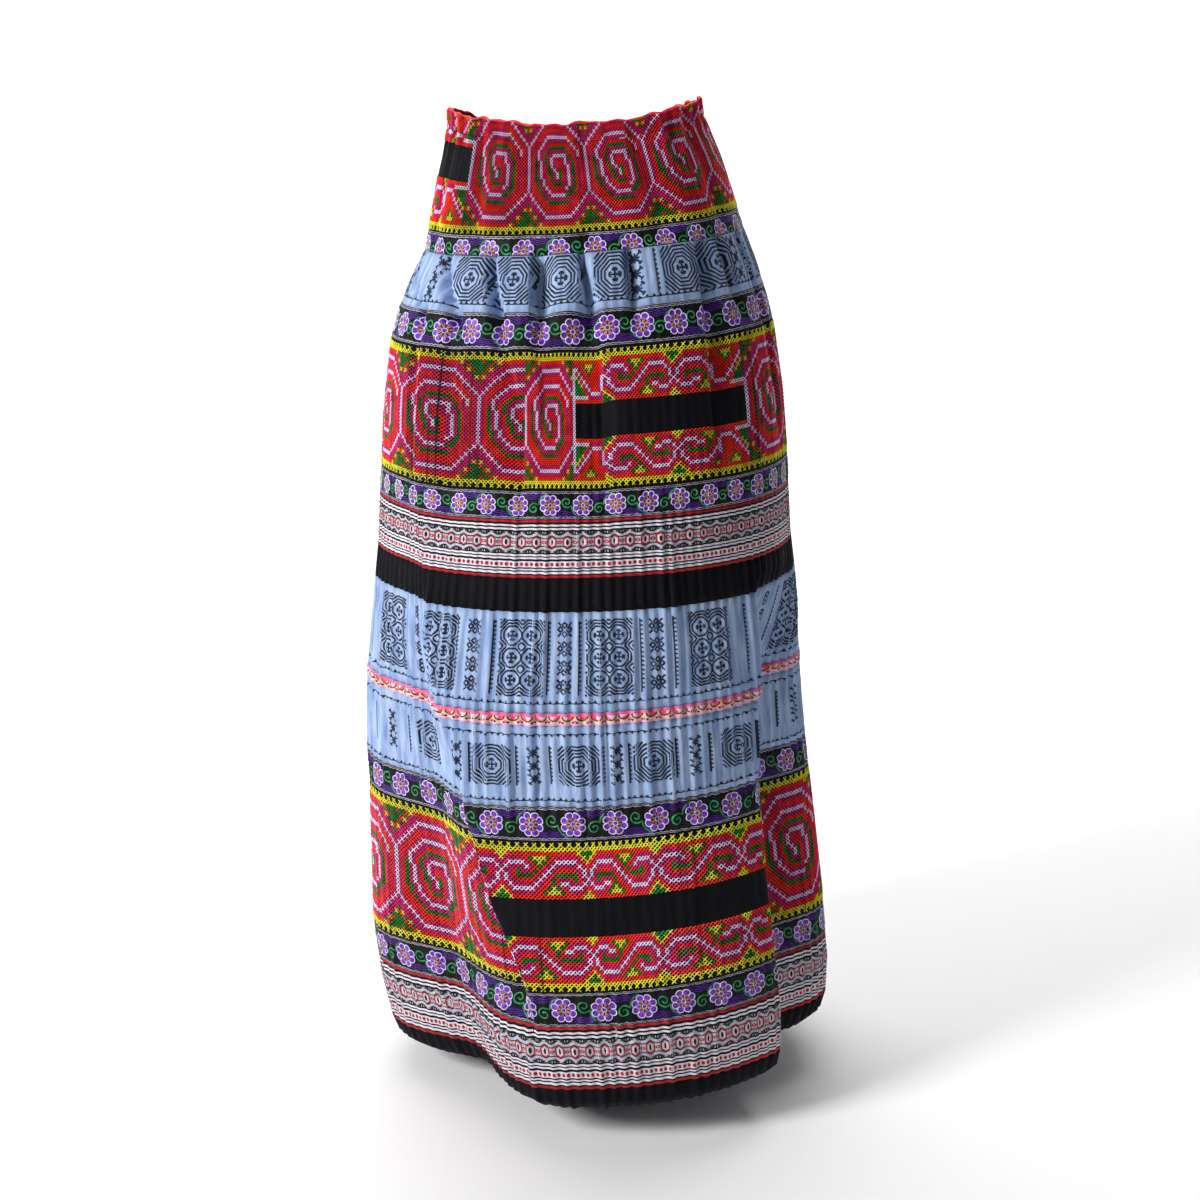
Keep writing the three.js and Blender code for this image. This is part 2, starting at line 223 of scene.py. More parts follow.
# angle at the seam, at the foot of the gathered band and in the panel; depth in the band and in the panel;
# width to the left and right of its bottom in the band, the same in the panel; level where it has faded
GATHERS = [
    (-173, -174, -175, 11, 5, 2.0, 0.8, 3, 2, -330), (-157, -158, -160, 10, 6, 0.8, 3.0, 2, 4, -400),
    (-141, -142, -142, 12, 5, 2.0, 1.0, 3, 2, -360), (-124, -126, -127, 9, 7, 1.0, 1.2, 4, 2, -430),
    (-108, -108, -109, 11, 5, 2.2, 0.8, 3, 2, -340), (-98, -96, -94, 9, 4, 0.8, 2.6, 2, 4, -360),
    (-85, -56, -54, 17, 4, 1.2, 1.0, 2.0, 2.0, -420), (-52, -41.5, -38.7, 23, 6, 2.6, 0.8, 3.2, 6, -440),
    (-31.5, -25, -17, 22, 6, 2.4, 0.8, 3.0, 1.9, -430), (-16.5, -13.5, -9.6, 20, 7, 0.8, 5.0, 1.9, 5, -330),
    (-0.4, 3.4, 6.0, 22, 13, 1.0, 1.4, 11, 2.0, -410), (15.7, 16, 17, 11, 0, 1.2, 3.0, 2, 2, -215),
    (41.8, 40.2, 38.7, 16, 7, 0.9, 4.0, 1.9, 6, -370), (53.5, 53.5, 56, 8, 0, 2.0, 1.3, 2, 2, -215),
    (69, 70, 71, 9, 5, 2.0, 0.8, 3, 2, -360), (84, 86, 88, 9, 4, 0.8, 2.4, 2, 4, -330),
    (101, 102, 103, 11, 7, 2.2, 0.8, 3, 2, -410), (118, 120, 121, 9, 4, 0.8, 2.6, 2, 4, -320),
    (135, 136, 136, 10, 6, 2.0, 1.0, 4, 2, -430), (152, 153, 154, 10, 4, 0.9, 2.4, 2, 3, -350),
    (168, 169, 169, 9, 6, 1.8, 0.9, 3, 2, -390),
]
# levels of the seam, of the foot of the band and of the panel's middle
GATHER_STEPS = (-130, -174, -272)
# levels between which the gathers open under the seam, and between which they take on the panel's shape
GATHERS_OPEN = (-118, -134)
GATHERS_CHANGE = (-154, -208)
# A gather is at its full depth this far above the level where it has faded, or at the level below at least.
GATHER_FADE = 120
GATHER_FADE_TOP = -190
# A gather folded inward hangs lower than the crests beside it by this share of its depth.
GATHER_SAG = 0.4
# angle, depth, width, start, end
LOWER_FOLDS = [
    (-150, 9, 8, -470, -700), (-112, 10, 9, -500, -800), (-10, 8, 5, -585, -618),
    (112, 10, 9, -500, -820), (148, 9, 8, -470, -720),
]
FOLD_FADE = 45
# share of depth that the yoke's creases keep at the rim; levels where creases, puckers and waves change
CREASE_AT_RIM = 0.4
CREASES_FULL = (-8, -30)
CREASES_END = (-126, -110)
PUCKERS_END = (-58, -30)
RIM_WAVES_END = (-30, -8)
# level, depth of the fine crinkle pleats
PLEAT_DEPTHS = [
    (0, 0.2), (-120, 0.25), (-160, 0.3), (-208, 0.35), (-340, 0.5), (-380, 0.8), (-424, 0.9), (-460, 1.5),
    (-640, 1.5), (-678, 0.5), (-837, 0.55), (-880, 0.9), (-987, 1.2),
]
PLEATS_ROUND = 120
SAMPLES_A_PLEAT = 6
COLUMNS = PLEATS_ROUND * SAMPLES_A_PLEAT
ROW_STEP = 7.0
# lengths down the cloth over which a pleat sways and swells, and the share by which it swells
PLEAT_SWAY = 70
PLEAT_SWELL = 45
PLEAT_SWELL_SHARE = 0.3
# angles for measuring the way round a level, and which of them is the middle of the front
FINE_TURNS = np.linspace(-180, 180, 2881)
FRONT_TURN = 1440
chance = np.random.default_rng(7)
pleat_size = chance.uniform(0.45, 1.4, PLEATS_ROUND)
pleat_lean = chance.uniform(-0.22, 0.22, PLEATS_ROUND)
pleat_sway = chance.uniform(0, 2 * math.pi, PLEATS_ROUND)


def read(table, level):
    """The columns of a table after its level, read between the rows around a level."""
    rows = np.array(table, float)
    return [np.interp(-level, -rows[:, 0], rows[:, k]) for k in range(1, rows.shape[1])]


def soft_step(start, end, value):
    """0 up to the start, 1 from the end on, and eased between them."""
    share = np.clip((value - start) / (end - start), 0, 1)
    return share * share * (3 - 2 * share)


def turn_from(angle, middle):
    """How far round an angle is from a middle one, between -180 and 180 degrees."""
    return (angle - middle + 540) % 360 - 180


def trough(angle, middle, width):
    """A smooth bell, 1 at its middle, for a crease or a fold."""
    away = turn_from(angle, middle) / width
    return np.exp(-away * away)


def set_back(angle, level):
    """How far the cloth beside the broad front panel of the lower tier is set back."""
    left, right, left_depth, right_depth = read(FOLD_EDGES, level)
    depth = np.zeros_like(angle)
    for edge, most, step, side in ((left, left_depth, LEFT_STEP, -1), (right, right_depth, RIGHT_STEP, 1)):
        beside = (angle - edge) * side > 0
        share = step["share"] * (1 - soft_step(*step["softens"], level))
        sharp = soft_step(edge, edge + side * step["width"], angle) * share
        deepest = side * max(side * edge + STEP_RUN, side * step["deepest"])
        slow = soft_step(edge, deepest, angle) * (1 - share)
        eased = soft_step(side * max(side * deepest + STEP_EASE, side * step["end"]), deepest, angle)
        depth += np.where(beside, (sharp + slow) * eased * most, 0)
    return depth


def gathered_in(angle, level):
    """How deep the gathers are under the seam of the yoke."""
    depth = np.zeros_like(angle)
    if level > GATHERS_OPEN[0]:
        return depth
    lower = soft_step(*GATHERS_CHANGE, level)
    opened = soft_step(*GATHERS_OPEN, level)
    for seam, foot, below, in_band, in_panel, left, right, low_left, low_right, end in GATHERS:
        middle = np.interp(-level, [-step for step in GATHER_STEPS], (seam, foot, below))
        away = turn_from(angle, middle)
        wide = np.where(away < 0, left + (low_left - left) * lower, right + (low_right - right) * lower)
        fading = soft_step(end, min(end + GATHER_FADE, GATHER_FADE_TOP), level)
        deep = (in_band + (in_panel - in_band) * lower) * opened * fading
        depth += deep * np.exp(-(away / wide) ** 2)
    return depth


def relief(angle, level):
    """Creases, puckers and small folds, outward in millimetres."""
    out = np.zeros_like(angle)
    reach = CREASE_AT_RIM + (1 - CREASE_AT_RIM) * soft_step(*CREASES_FULL, level)
    reach = reach * soft_step(*CREASES_END, level)
    for middle, depth, width in YOKE_CREASES:
        out -= depth * reach * trough(angle, middle, width)
    puckers = np.cos(np.radians(WAIST_PUCKERS * angle)) * WAIST_PUCKER_DEPTH / 2
    out += puckers * soft_step(*PUCKERS_END, level)
    for middle, depth, width, start, end in LOWER_FOLDS:
        lasting = soft_step(start, start - FOLD_FADE, level) * soft_step(end - FOLD_FADE, end, level)
        out -= depth * lasting * trough(angle, middle, width)
    return out


def section_curve(angle, level, creased=True):
    """Points of the cloth at one level without fine pleats, and if wanted without creases and gathers."""
    half, front, back, centre, front_dip, back_dip, tilt = read(SECTIONS, level)
    sine, cosine = np.sin(np.radians(angle)), np.cos(np.radians(angle))
    swell = (np.abs(sine) ** SQUARENESS + np.abs(cosine) ** SQUARENESS) ** (-1 / SQUARENESS)
    depth = np.where(cosine > 0, front, back)
    dip = np.where(cosine > 0, front_dip, back_dip)
    out_x, out_y = sine / half, -cosine / depth
    size = np.hypot(out_x, out_y)
    raised = -set_back(angle, level)
    height = read(HEM_CURL, level)[0] + front_dip - dip * cosine * cosine + tilt * sine
    if creased:
        gathers = gathered_in(angle, level)
        raised = raised + relief(angle, level) - gathers
        rim = soft_step(*RIM_WAVES_END, level)
        height = height - gathers * GATHER_SAG
        for waves, tall, turn in RIM_WAVES:
            height = height + rim * tall * np.sin(np.radians(waves * angle + turn))
    x = centre + half * sine * swell + out_x / size * raised
    y = -depth * cosine * swell + out_y / size * raised
    return np.stack([x, y, height], 1)


def fine_pleats(share, level):
    """Height of the crinkle pleats at a share of the way round; all meet in valleys of one depth."""
    place = share * PLEATS_ROUND
    which = np.floor(place).astype(int) % PLEATS_ROUND
    sway = pleat_lean[which] * np.sin(level / PLEAT_SWAY + pleat_sway[which])
    within = place - np.floor(place)
    within = within + sway * np.sin(2 * math.pi * within) / 2
    fade = 1 + PLEAT_SWELL_SHARE * np.sin(level / PLEAT_SWELL + pleat_sway[which])
    crest = pleat_size[which] * fade * (1 - np.cos(2 * math.pi * within))
    return read(PLEAT_DEPTHS, level)[0] * (crest - 1)


def way_round(level):
    """The length round the uncreased cloth at one level, and its share from the front to each fine angle."""
    plain = section_curve(FINE_TURNS, level, creased=False)
    along = np.concatenate([[0], np.cumsum(np.linalg.norm(np.diff(plain, axis=0), axis=1))])
    return along[-1], (along - along[FRONT_TURN]) / along[-1]


def ring(level):
    """Points, outward directions and length round of one level, in columns even on the uncreased cloth."""
    total, share = way_round(level)
    wanted = (np.arange(COLUMNS) + 0.5) / COLUMNS - 0.5
    wide_share = np.concatenate([share[:-1] - 1, share[:-1], share + 1])
    wide_angle = np.concatenate([FINE_TURNS[:-1] - 360, FINE_TURNS[:-1], FINE_TURNS + 360])
    turns = (np.interp(wanted, wide_share, wide_angle) + 180) % 360 - 180
    points = section_curve(turns, level)
    ahead = np.roll(points, -1, 0) - np.roll(points, 1, 0)
    outward = np.stack([ahead[:, 1], -ahead[:, 0], np.zeros(COLUMNS)], 1)
    outward /= np.linalg.norm(outward, axis=1)[:, None]
    return points, outward, total, wanted


def cloth_grid(top, bottom, levels=None):
    """A strip of cloth between two levels as rows and columns of points, with its outward directions."""
    if levels is None:
        levels = np.linspace(top, bottom, max(3, round((top - bottom) / ROW_STEP) + 1))
    grid = np.zeros((len(levels), COLUMNS, 3))
    around = 0
    for r, level in enumerate(levels):
        points, outward, total, share = ring(level)
        grid[r] = points + outward * fine_pleats(share, level)[:, None]
        around += total / len(levels)
    across = np.roll(grid, -1, 1) - np.roll(grid, 1, 1)
    down = np.gradient(grid, levels, axis=0) * -1
    normal = np.cross(down, across)
    normal /= np.linalg.norm(normal, axis=2)[..., None]
    pleated = float(np.linalg.norm(np.roll(grid, -1, 1) - grid, axis=2).sum(1).mean())
    return {
        "top": top, "bottom": bottom, "levels": np.array(levels), "points": grid, "normal": normal,
        "around": around, "pleated": pleated,
    }


def lay(cloth, along, down, lift):
    """Points on the cloth: along from the middle of the front, down from the top edge, lifted off it."""
    rows = cloth["points"].shape[0]
    row = np.interp(np.asarray(down, float), cloth["top"] - cloth["levels"], np.arange(rows))
    column = (np.asarray(along, float) / cloth["around"] + 0.5) * COLUMNS - 0.5
    r0 = np.clip(np.floor(row).astype(int), 0, rows - 2)
    c0 = np.floor(column).astype(int)
    fr, fc = (row - r0)[..., None], (column - c0)[..., None]
    c0, c1 = c0 % COLUMNS, (c0 + 1) % COLUMNS
    found = []
    for field in (cloth["points"], cloth["normal"]):
        upper = field[r0, c0] * (1 - fc) + field[r0, c1] * fc
        lower = field[r0 + 1, c0] * (1 - fc) + field[r0 + 1, c1] * fc
        found.append(upper * (1 - fr) + lower * fr)
    return found[0] + found[1] * np.asarray(lift, float)[..., None]


INSIDE_EVERY = 3
CLOTH_THICK = 1.3


def shell_faces(rows, inner_columns):
    """The faces of the strip's right side, and those of its wrong side and its two edges."""
    right_side, wrong_side = [], []
    for r in range(rows - 1):
        here, below = r * COLUMNS, (r + 1) * COLUMNS
        for i in range(COLUMNS):
            j = (i + 1) % COLUMNS
            right_side.append((here + i, below + i, below + j, here + j))
    start = rows * COLUMNS
    for r in range(rows - 1):
        here, below = start + r * inner_columns, start + (r + 1) * inner_columns
        for i in range(inner_columns):
            j = (i + 1) % inner_columns
            wrong_side.append((here + i, here + j, below + j, below + i))
    for r in (0, rows - 1):
        for i in range(inner_columns):
            run = [r * COLUMNS + (i * INSIDE_EVERY + k) % COLUMNS for k in range(INSIDE_EVERY + 1)]
            back = [start + r * inner_columns + (i + 1) % inner_columns, start + r * inner_columns + i]
            face = run + back
            wrong_side.append(tuple(face if r == 0 else face[::-1]))
    return right_side, wrong_side


def measure_out(mesh, cloth, inner_columns):
    """Coordinates in metres along and up the cloth, so that the weave of its material runs with it."""
    width = cloth["around"] / 1000
    heights = (cloth["levels"] - cloth["bottom"]) / 1000
    start = len(heights) * COLUMNS
    corner = np.zeros(len(mesh.loops), int)
    mesh.loops.foreach_get("vertex_index", corner)
    column = np.where(corner < start, corner % COLUMNS, ((corner - start) % inner_columns) * INSIDE_EVERY)
    row = np.where(corner < start, corner // COLUMNS, (corner - start) // inner_columns)
    across = column.astype(float)
    size = np.zeros(len(mesh.polygons), int)
    mesh.polygons.foreach_get("loop_total", size)
    face_of = np.repeat(np.arange(len(size)), size)
    biggest = np.zeros(len(size))
    np.maximum.at(biggest, face_of, across)
    wraps = (biggest[face_of] - across) > COLUMNS / 2
    across = across + np.where(wraps, COLUMNS, 0)
    uv = np.stack([across / COLUMNS * width, heights[row]], 1)
    mesh.uv_layers.new(name="cloth").data.foreach_set("uv", uv.ravel())


def add_cloth(name, cloth, materials, row_materials=None):
    """The strip as a thin shell: its right side, and its wrong side a cloth's thickness behind."""
    rows = cloth["points"].shape[0]
    inner_grid = (cloth["points"] - cloth["normal"] * CLOTH_THICK)[:, ::INSIDE_EVERY]
    inner_columns = inner_grid.shape[1]
    right_side, wrong_side = shell_faces(rows, inner_columns)
    points = np.concatenate([cloth["points"].reshape(-1, 3), inner_grid.reshape(-1, 3)])
    piece = add_mesh(name, points, right_side + wrong_side, materials)
    by_row = np.zeros(rows - 1, int) if row_materials is None else np.array(row_materials)
    shown = np.concatenate([np.repeat(by_row, COLUMNS), np.full(len(wrong_side), len(materials) - 1)])
    piece.data.polygons.foreach_set("material_index", shown)
    measure_out(piece.data, cloth, inner_columns)
    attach(piece, "root")
    return piece


def declare(node_name):
    """Hides the solid in model.glb that the strip stands for."""
    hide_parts(node_name)


STREAK_STRETCH = (450, 60, 1)
WEAVE_SCALE = 100
WEAVE_BUMP = 0.35
BLOOM_TONE = "#8FA0C8"


def woven(name, tones, roughness, sheen, thread, sheen_tone="#FFFFFF", gloss=0.4, even=0.2):
    """A woven cotton: its tones run from shade to light in long upright streaks, and its weave as ribs of
    three threads.
    """
    material, tree, shader = new_material(name)
    place = node(tree, "ShaderNodeUVMap", {"uv_map": "cloth"})
    streak_stretch = node(
        tree, "ShaderNodeMapping", values={"Scale": STREAK_STRETCH}, links={"Vector": place.outputs["UV"]}
    )
    streaks = node(
        tree, "ShaderNodeTexNoise", values={"Scale": 0.35, "Detail": 4.0, "Roughness": 0.6},
        links={"Vector": streak_stretch.outputs["Vector"]},
    )
    # The streaks mix the two tones. On the batik these are its blue in shade and in light, so there they are
    # painted shade and highlight.
    colour = node(tree, "ShaderNodeValToRGB", links={"Fac": streaks.outputs["Fac"]})
    colour.color_ramp.elements[0].position = 0.5 - even
    colour.color_ramp.elements[0].color = linear(tones[0])
    colour.color_ramp.elements[1].position = 0.5 + even
    colour.color_ramp.elements[1].color = linear(tones[1])
    tree.links.new(colour.outputs["Color"], shader.inputs["Base Color"])
    crossing = node(tree, "ShaderNodeMath", {"operation": "MAXIMUM"})
    for k, direction in enumerate("XY"):
        ribs = node(
            tree, "ShaderNodeTexWave", {"bands_direction": direction},
            {"Scale": WEAVE_SCALE / thread, "Distortion": 0.6}, {"Vector": place.outputs["UV"]},
        )
        tree.links.new(ribs.outputs["Fac"], crossing.inputs[k])
    weave = node(
        tree, "ShaderNodeBump", values={"Strength": WEAVE_BUMP, "Distance": thread / 4000},
        links={"Height": crossing.outputs["Value"]},
    )
    tree.links.new(weave.outputs["Normal"], shader.inputs["Normal"])
    shader.inputs["Roughness"].default_value = roughness
    shader.inputs["Sheen Weight"].default_value = sheen
    shader.inputs["Specular IOR Level"].default_value = gloss
    shader.inputs["Sheen Roughness"].default_value = 0.45
    shader.inputs["Sheen Tint"].default_value = linear(sheen_tone)
    return material


# Black cotton, plain woven and machine dyed: near black, with a faint blue bloom on pleats in the light.
# Its threads are about 0.4 mm apart, and they are drawn coarser so that they show at all.
black_cotton = woven(
    "black_plain_cotton", ("#050507", "#101016"), 0.8, 0.04, 1.0, sheen_tone=BLOOM_TONE, gloss=0.12
)
# The wrong side of the same cotton, matt, greyed by lint and by the backs of the stitches.
black_cotton_back = woven("black_cotton_wrong_side", ("#101014", "#1C1C22"), 0.9, 0.05, 1.0, gloss=0.12)


def black_strip(name, top, bottom):
    """A strip of the black cotton between two levels, and its piece."""
    strip = cloth_grid(top, bottom)
    return strip, add_cloth(name, strip, [black_cotton, black_cotton_back])


casing, casing_cloth = black_strip("waist_casing_cloth", -8, -24)
yoke, yoke_cloth = black_strip("yoke_panel_cloth", -24.3, -105)
upper_panel, upper_panel_cloth = black_strip("upper_panel_cloth", -208.3, -340)
lower_panel, lower_panel_cloth = black_strip("lower_panel_cloth", -678.3, -837)
black_band, black_band_cloth = black_strip("black_band_cloth", -424.3, -456)
hem_band, hem_band_cloth = black_strip("black_hem_cloth", -944.3, -987)
declare("black_band")
declare("black_hem_band")

# Cross-stitch panels: counted stitches of stranded cotton that cover the black cloth, save for bare windows.
# Octagon spirals stand side by side, and long scrolls run above and below the windows.
# Each stitch is two crossed legs, the upper one over the lower, raised like a small roof.
SCROLL = (
    "YYRRRRRRRRRRRRRRRRYGG",
    "YPPPPPRGYYYGRPPPPPRYG",
    "PPWWWWPRGYGRPWWWWWPRY",
    "PWPPPPWPRGRPWPPPPPWPR",
    "WPPRGPPRGRPWPRRRRRPWP",
    "PWPRGGGGRPWPRGGGGGPWP",
    "PWPPRRRRPWPRGRPPRGRPW",
    "RPWPPPPPWPRRGRWWPPPWP",
    "YRPWWWWWPRRGYGRPWWWPR",
    "GYRPPPPPRRGYYYGRPPPRY",
    "GGYRRRRRRRRRRRRRRRRYY",
)
SCROLL_END = (
    "RRRRRRRRRRR",
    "PRRGYYYGRRR",
    "WPRRGYGRRRP",
    "PWPRRGRRRRP",
    "YPWPRRRRRPW",
    "GYPWPRRRRPW",
    "GGYPWPRRRPW",
    "GGGRPWPRRPW",
    "GGGGRPWWWWP",
    "WWWWWRPPPPP",
    "RRRRRRRRRRR",
)
CHART_ROWS = 31
OCTAGON_COLUMNS = 22
OCTAGON_RING = 13
CLOSED_RINGS = 2
RINGS = "WPRGP"
# where a chart is cut to an octagon, and the rings that its spiral has moved on by in each eighth of a turn
OCTAGON_SLANT = 0.765
SPIRAL_START = 202.5
SPIRAL_STEPS = (0, 1, 1, 2, 3, 3, 4, 4)
# threads outward from the octagon in its corners, for even and odd rows, and where green leaves take over
CORNER_THREADS = ("PP", "PP", "YG", "RR", "GG", "RR", "RR", "RR")
LEAF_ROWS = 11
# thread letter: name, shaded tone, lit tone
THREADS = {
    "R": ("red", "#DE1A08", "#FF3A12"),
    "P": ("magenta", "#B40A58", "#E81C7C"),
    "W": ("lilac_white", "#D2C8E6", "#F4EEFC"),
    "G": ("green", "#0C5A16", "#23902E"),
    "Y": ("yellow", "#D2CC18", "#F2EE34"),
}
# heights of the lower and the upper leg's ridge and of their edges, and how far they reach in their square
STITCH_RISE = (0.7, 1.1)
STITCH_FOOT = 0.1
STITCH_REACH = 0.48
LEG_POINTS = 6


def embroidery_cotton(name, shaded, lit, roughness=0.5):
    """Stranded cotton, mercerised: softly lustrous, its colour mixed at random from a shaded and a lit tone,
    painted shade and highlight.
    """
    material, tree, shader = new_material(name)
    place = node(tree, "ShaderNodeTexCoord")
    # This noise mixes the thread's shaded and lit tones in small random patches: painted shade and highlight.
    dye = node(
        tree, "ShaderNodeTexNoise", values={"Scale": 120.0, "Detail": 3.0},
        links={"Vector": place.outputs["Object"]},
    )
    colour = node(tree, "ShaderNodeValToRGB", links={"Fac": dye.outputs["Fac"]})
    colour.color_ramp.elements[0].position = 0.32
    colour.color_ramp.elements[0].color = linear(shaded)
    colour.color_ramp.elements[1].position = 0.68
    colour.color_ramp.elements[1].color = linear(lit)
    strands = node(
        tree, "ShaderNodeTexNoise", values={"Scale": 1500.0, "Detail": 1.0},
        links={"Vector": place.outputs["Object"]},
    )
    fibres = node(
        tree, "ShaderNodeBump", values={"Strength": 0.3, "Distance": 0.0003},
        links={"Height": strands.outputs["Fac"]},
    )
    tree.links.new(colour.outputs["Color"], shader.inputs["Base Color"])
    tree.links.new(fibres.outputs["Normal"], shader.inputs["Normal"])
    shader.inputs["Roughness"].default_value = roughness
    shader.inputs["Sheen Weight"].default_value = 0.03
    shader.inputs["Specular IOR Level"].default_value = 0.3
    return material


threads = {}
for letter, (tone, shaded, lit) in THREADS.items():
    threads[letter] = embroidery_cotton("stranded_cotton_" + tone, shaded, lit)


def octagon_letter(column, row):
    """The thread of one stitch of an octagon: closed rings outside, a spiral within."""
    dx, dy = column - OCTAGON_COLUMNS // 2, row - CHART_ROWS // 2
    slant = OCTAGON_SLANT * (abs(dx) + abs(dy))
    inward = OCTAGON_RING - round(max(abs(dx) + 2, abs(dy), slant))
    if inward > CLOSED_RINGS:
        eighth = int(((math.degrees(math.atan2(dy, dx)) + SPIRAL_START) % 360) // 45)
        return RINGS[(inward + SPIRAL_STEPS[eighth]) % len(RINGS)]
    if inward >= 0:
        return RINGS[inward % len(RINGS)]
    beyond = -inward - 1
    if slant > abs(dy) + 0.4:
        if column in (0, OCTAGON_COLUMNS - 1) and abs(dy) > LEAF_ROWS:
            return "G"
        return CORNER_THREADS[min(beyond, 7)][row % 2]
    return "PR"[min(beyond, 1)]


def turned(chart, mirrored, flipped):
    """The chart from left to right, upside down, or both."""
    rows = [row[::-1] if mirrored else row for row in chart]
    return rows[::-1] if flipped else rows


def scroll_section(halves):
    """The chart of a border column and a run of scrolls over and under a bare window, 31 rows high."""
    runs = [turned(SCROLL_END, False, False)]
    for k in range(halves):
        half = turned(SCROLL, k % 2 == 1, False)
        runs.append(half if k == 0 else [row[1:] for row in half])
    runs.append(turned(SCROLL_END, True, halves % 2 == 1))
    top = ["".join(parts) for parts in zip(*runs)]
    bare = [" " * len(top[0])] * (CHART_ROWS - 2 * len(top))
    border = "RP" + "W" * (CHART_ROWS - 4) + "PR"
    return [edge + row for edge, row in zip(border, top + bare + top[::-1])]


def scroll_halves(forward):
    """The chart of half a scroll over and under a bare window."""
    top = SCROLL if forward else turned(SCROLL, True, False)
    bare = [" " * len(top[0])] * (CHART_ROWS - 2 * len(top))
    return list(top) + bare + list(top)[::-1]


octagon = ["".join(octagon_letter(c, r) for c in range(OCTAGON_COLUMNS)) for r in range(CHART_ROWS)]


def yellow_edged(chart, above=True):
    """A full row of yellow beside the chart, and yellow teeth beyond it."""
    wide = len(chart[0])
    teeth, full = ("Y " * wide)[:wide], "Y" * wide
    return ([teeth, full] if above else []) + chart + [full, teeth]


def spread(parts):
    """Columns joined from parts: a chart, its first and last column, and where they lie on the cloth."""
    columns, edges = [], []
    for chart, first, last, start, end in parts:
        columns += ["".join(row[c] for row in chart) for c in range(first, last)]
        edges += np.linspace(start, end, last - first, endpoint=False).tolist()
    edges.append(parts[-1][4])
    return ["".join(row) for row in zip(*columns)], np.array(edges)


def leg_points(cloth, along, down, half_x, half_y, leg_width):
    """The points of each stitch: three across each end of both legs, the middle one raised."""
    reach = np.hypot(half_x, half_y)
    points = []
    for leg, rise in zip((1, -1), STITCH_RISE):
        side_x, side_y = half_y / reach * leg_width / 2, -half_x * leg / reach * leg_width / 2
        for end in (-1, 1):
            for across, lift in ((-1, STITCH_FOOT), (0, rise), (1, STITCH_FOOT)):
                inset = 1 if across == 0 else 0.9
                points.append(lay(
                    cloth,
                    along + end * half_x * inset + across * side_x,
                    down + end * leg * half_y * inset + across * side_y,
                    np.full(len(along), lift),
                ))
    return np.stack(points, 1).reshape(-1, 3)


def stitch(name, cloth, chart, edges, full, top, row_height, leg_width, keep=None):
    """The crossed stitches of a chart on the cloth, one piece for each thread."""
    letters = np.array([list(row) for row in chart])
    scale = cloth["around"] / full
    pieces = []
    for letter, material in threads.items():
        row, column = np.nonzero(letters == letter)
        along = (edges[column] + edges[column + 1]) / 2 * scale
        down = top + (row + 0.5) * row_height
        if keep is not None:
            kept = keep(along, cloth["top"] - down)
            row, column, along, down = row[kept], column[kept], along[kept], down[kept]
        half_x = (edges[column + 1] - edges[column]) * scale * STITCH_REACH
        half_y = np.full(len(row), row_height * STITCH_REACH)
        points = leg_points(cloth, along, down, half_x, half_y, leg_width)
        first = np.arange(len(row))[:, None] * 2 * LEG_POINTS
        faces = []
        for leg in (0, LEG_POINTS):
            for a, b in ((0, 1), (1, 2)):
                faces.append(first + leg + np.array([a, b, b + 3, a + 3]))
        thread_name = name + "_" + THREADS[letter][0]
        pieces.append(add_mesh(thread_name, points, np.concatenate(faces).tolist(), [material], False))
        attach(pieces[-1], "root")
    return pieces


def octagons(*places):
    """Whole octagons side by side, each from one place to the next."""
    return [(octagon, 0, OCTAGON_COLUMNS, start, end) for start, end in zip(places, places[1:])]


# Where each part of a chart lies: chart, first and last column, start and end in millimetres from the front.
# Columns are missing where a gather folds them out of sight, and crowded where it draws the cloth in.
scrolls = scroll_section(2)
SCROLLS_WIDE = len(scrolls[0])
YOKE_ROUND = 790.5
YOKE_STITCH, YOKE_LEG = 3.2, 0.72
RIM_ROWS = (3, 8)
yoke_parts = octagons(-114.6, -49.8, 8.5, 71.1, 146, 212, 278, 344, 410, 476)
yoke_parts.append((scrolls, 0, SCROLLS_WIDE, 476, YOKE_ROUND - 114.6))
yoke_chart, yoke_edges = spread(yoke_parts)
rim_stitches = stitch(
    "waist_casing_stitches", casing, yoke_chart[RIM_ROWS[0]:RIM_ROWS[1]], yoke_edges, YOKE_ROUND, 0.0,
    YOKE_STITCH, YOKE_LEG,
)
declare("waist_casing")
yoke_stitches = stitch(
    "yoke_stitches", yoke, yellow_edged(yoke_chart[RIM_ROWS[1]:], above=False), yoke_edges, YOKE_ROUND, 0.2,
    YOKE_STITCH, YOKE_LEG,
)
declare("yoke_cross_stitch_panel")

UPPER_ROUND = 1135.8
UPPER_STITCH, UPPER_LEG = 3.65, 0.88
upper_parts = octagons(-287, -209.4) + [
    (octagon, 0, 7, -209.4, -173), (octagon, 7, 22, -173, -101.4), (octagon, 0, 13, -101.4, -53.9),
    (octagon, 0, 22, -53.9, -8.7), (scrolls, 0, 12, -8.7, 21.7), (scrolls, 12, 32, 21.7, 87.7),
    (scrolls, 32, 43, 87.7, 134.9), (scrolls, 53, SCROLLS_WIDE, 134.9, 170.4),
]
upper_parts += octagons(170.4, 260, 348, 437) + [(scrolls, 0, SCROLLS_WIDE, 437, 675)]
upper_parts += octagons(675, 762, UPPER_ROUND - 287)
upper_chart, upper_edges = spread(upper_parts)
upper_stitches = stitch(
    "upper_panel_stitches", upper_panel, yellow_edged(upper_chart), upper_edges, UPPER_ROUND, 2.0,
    UPPER_STITCH, UPPER_LEG,
)
declare("upper_cross_stitch_panel")

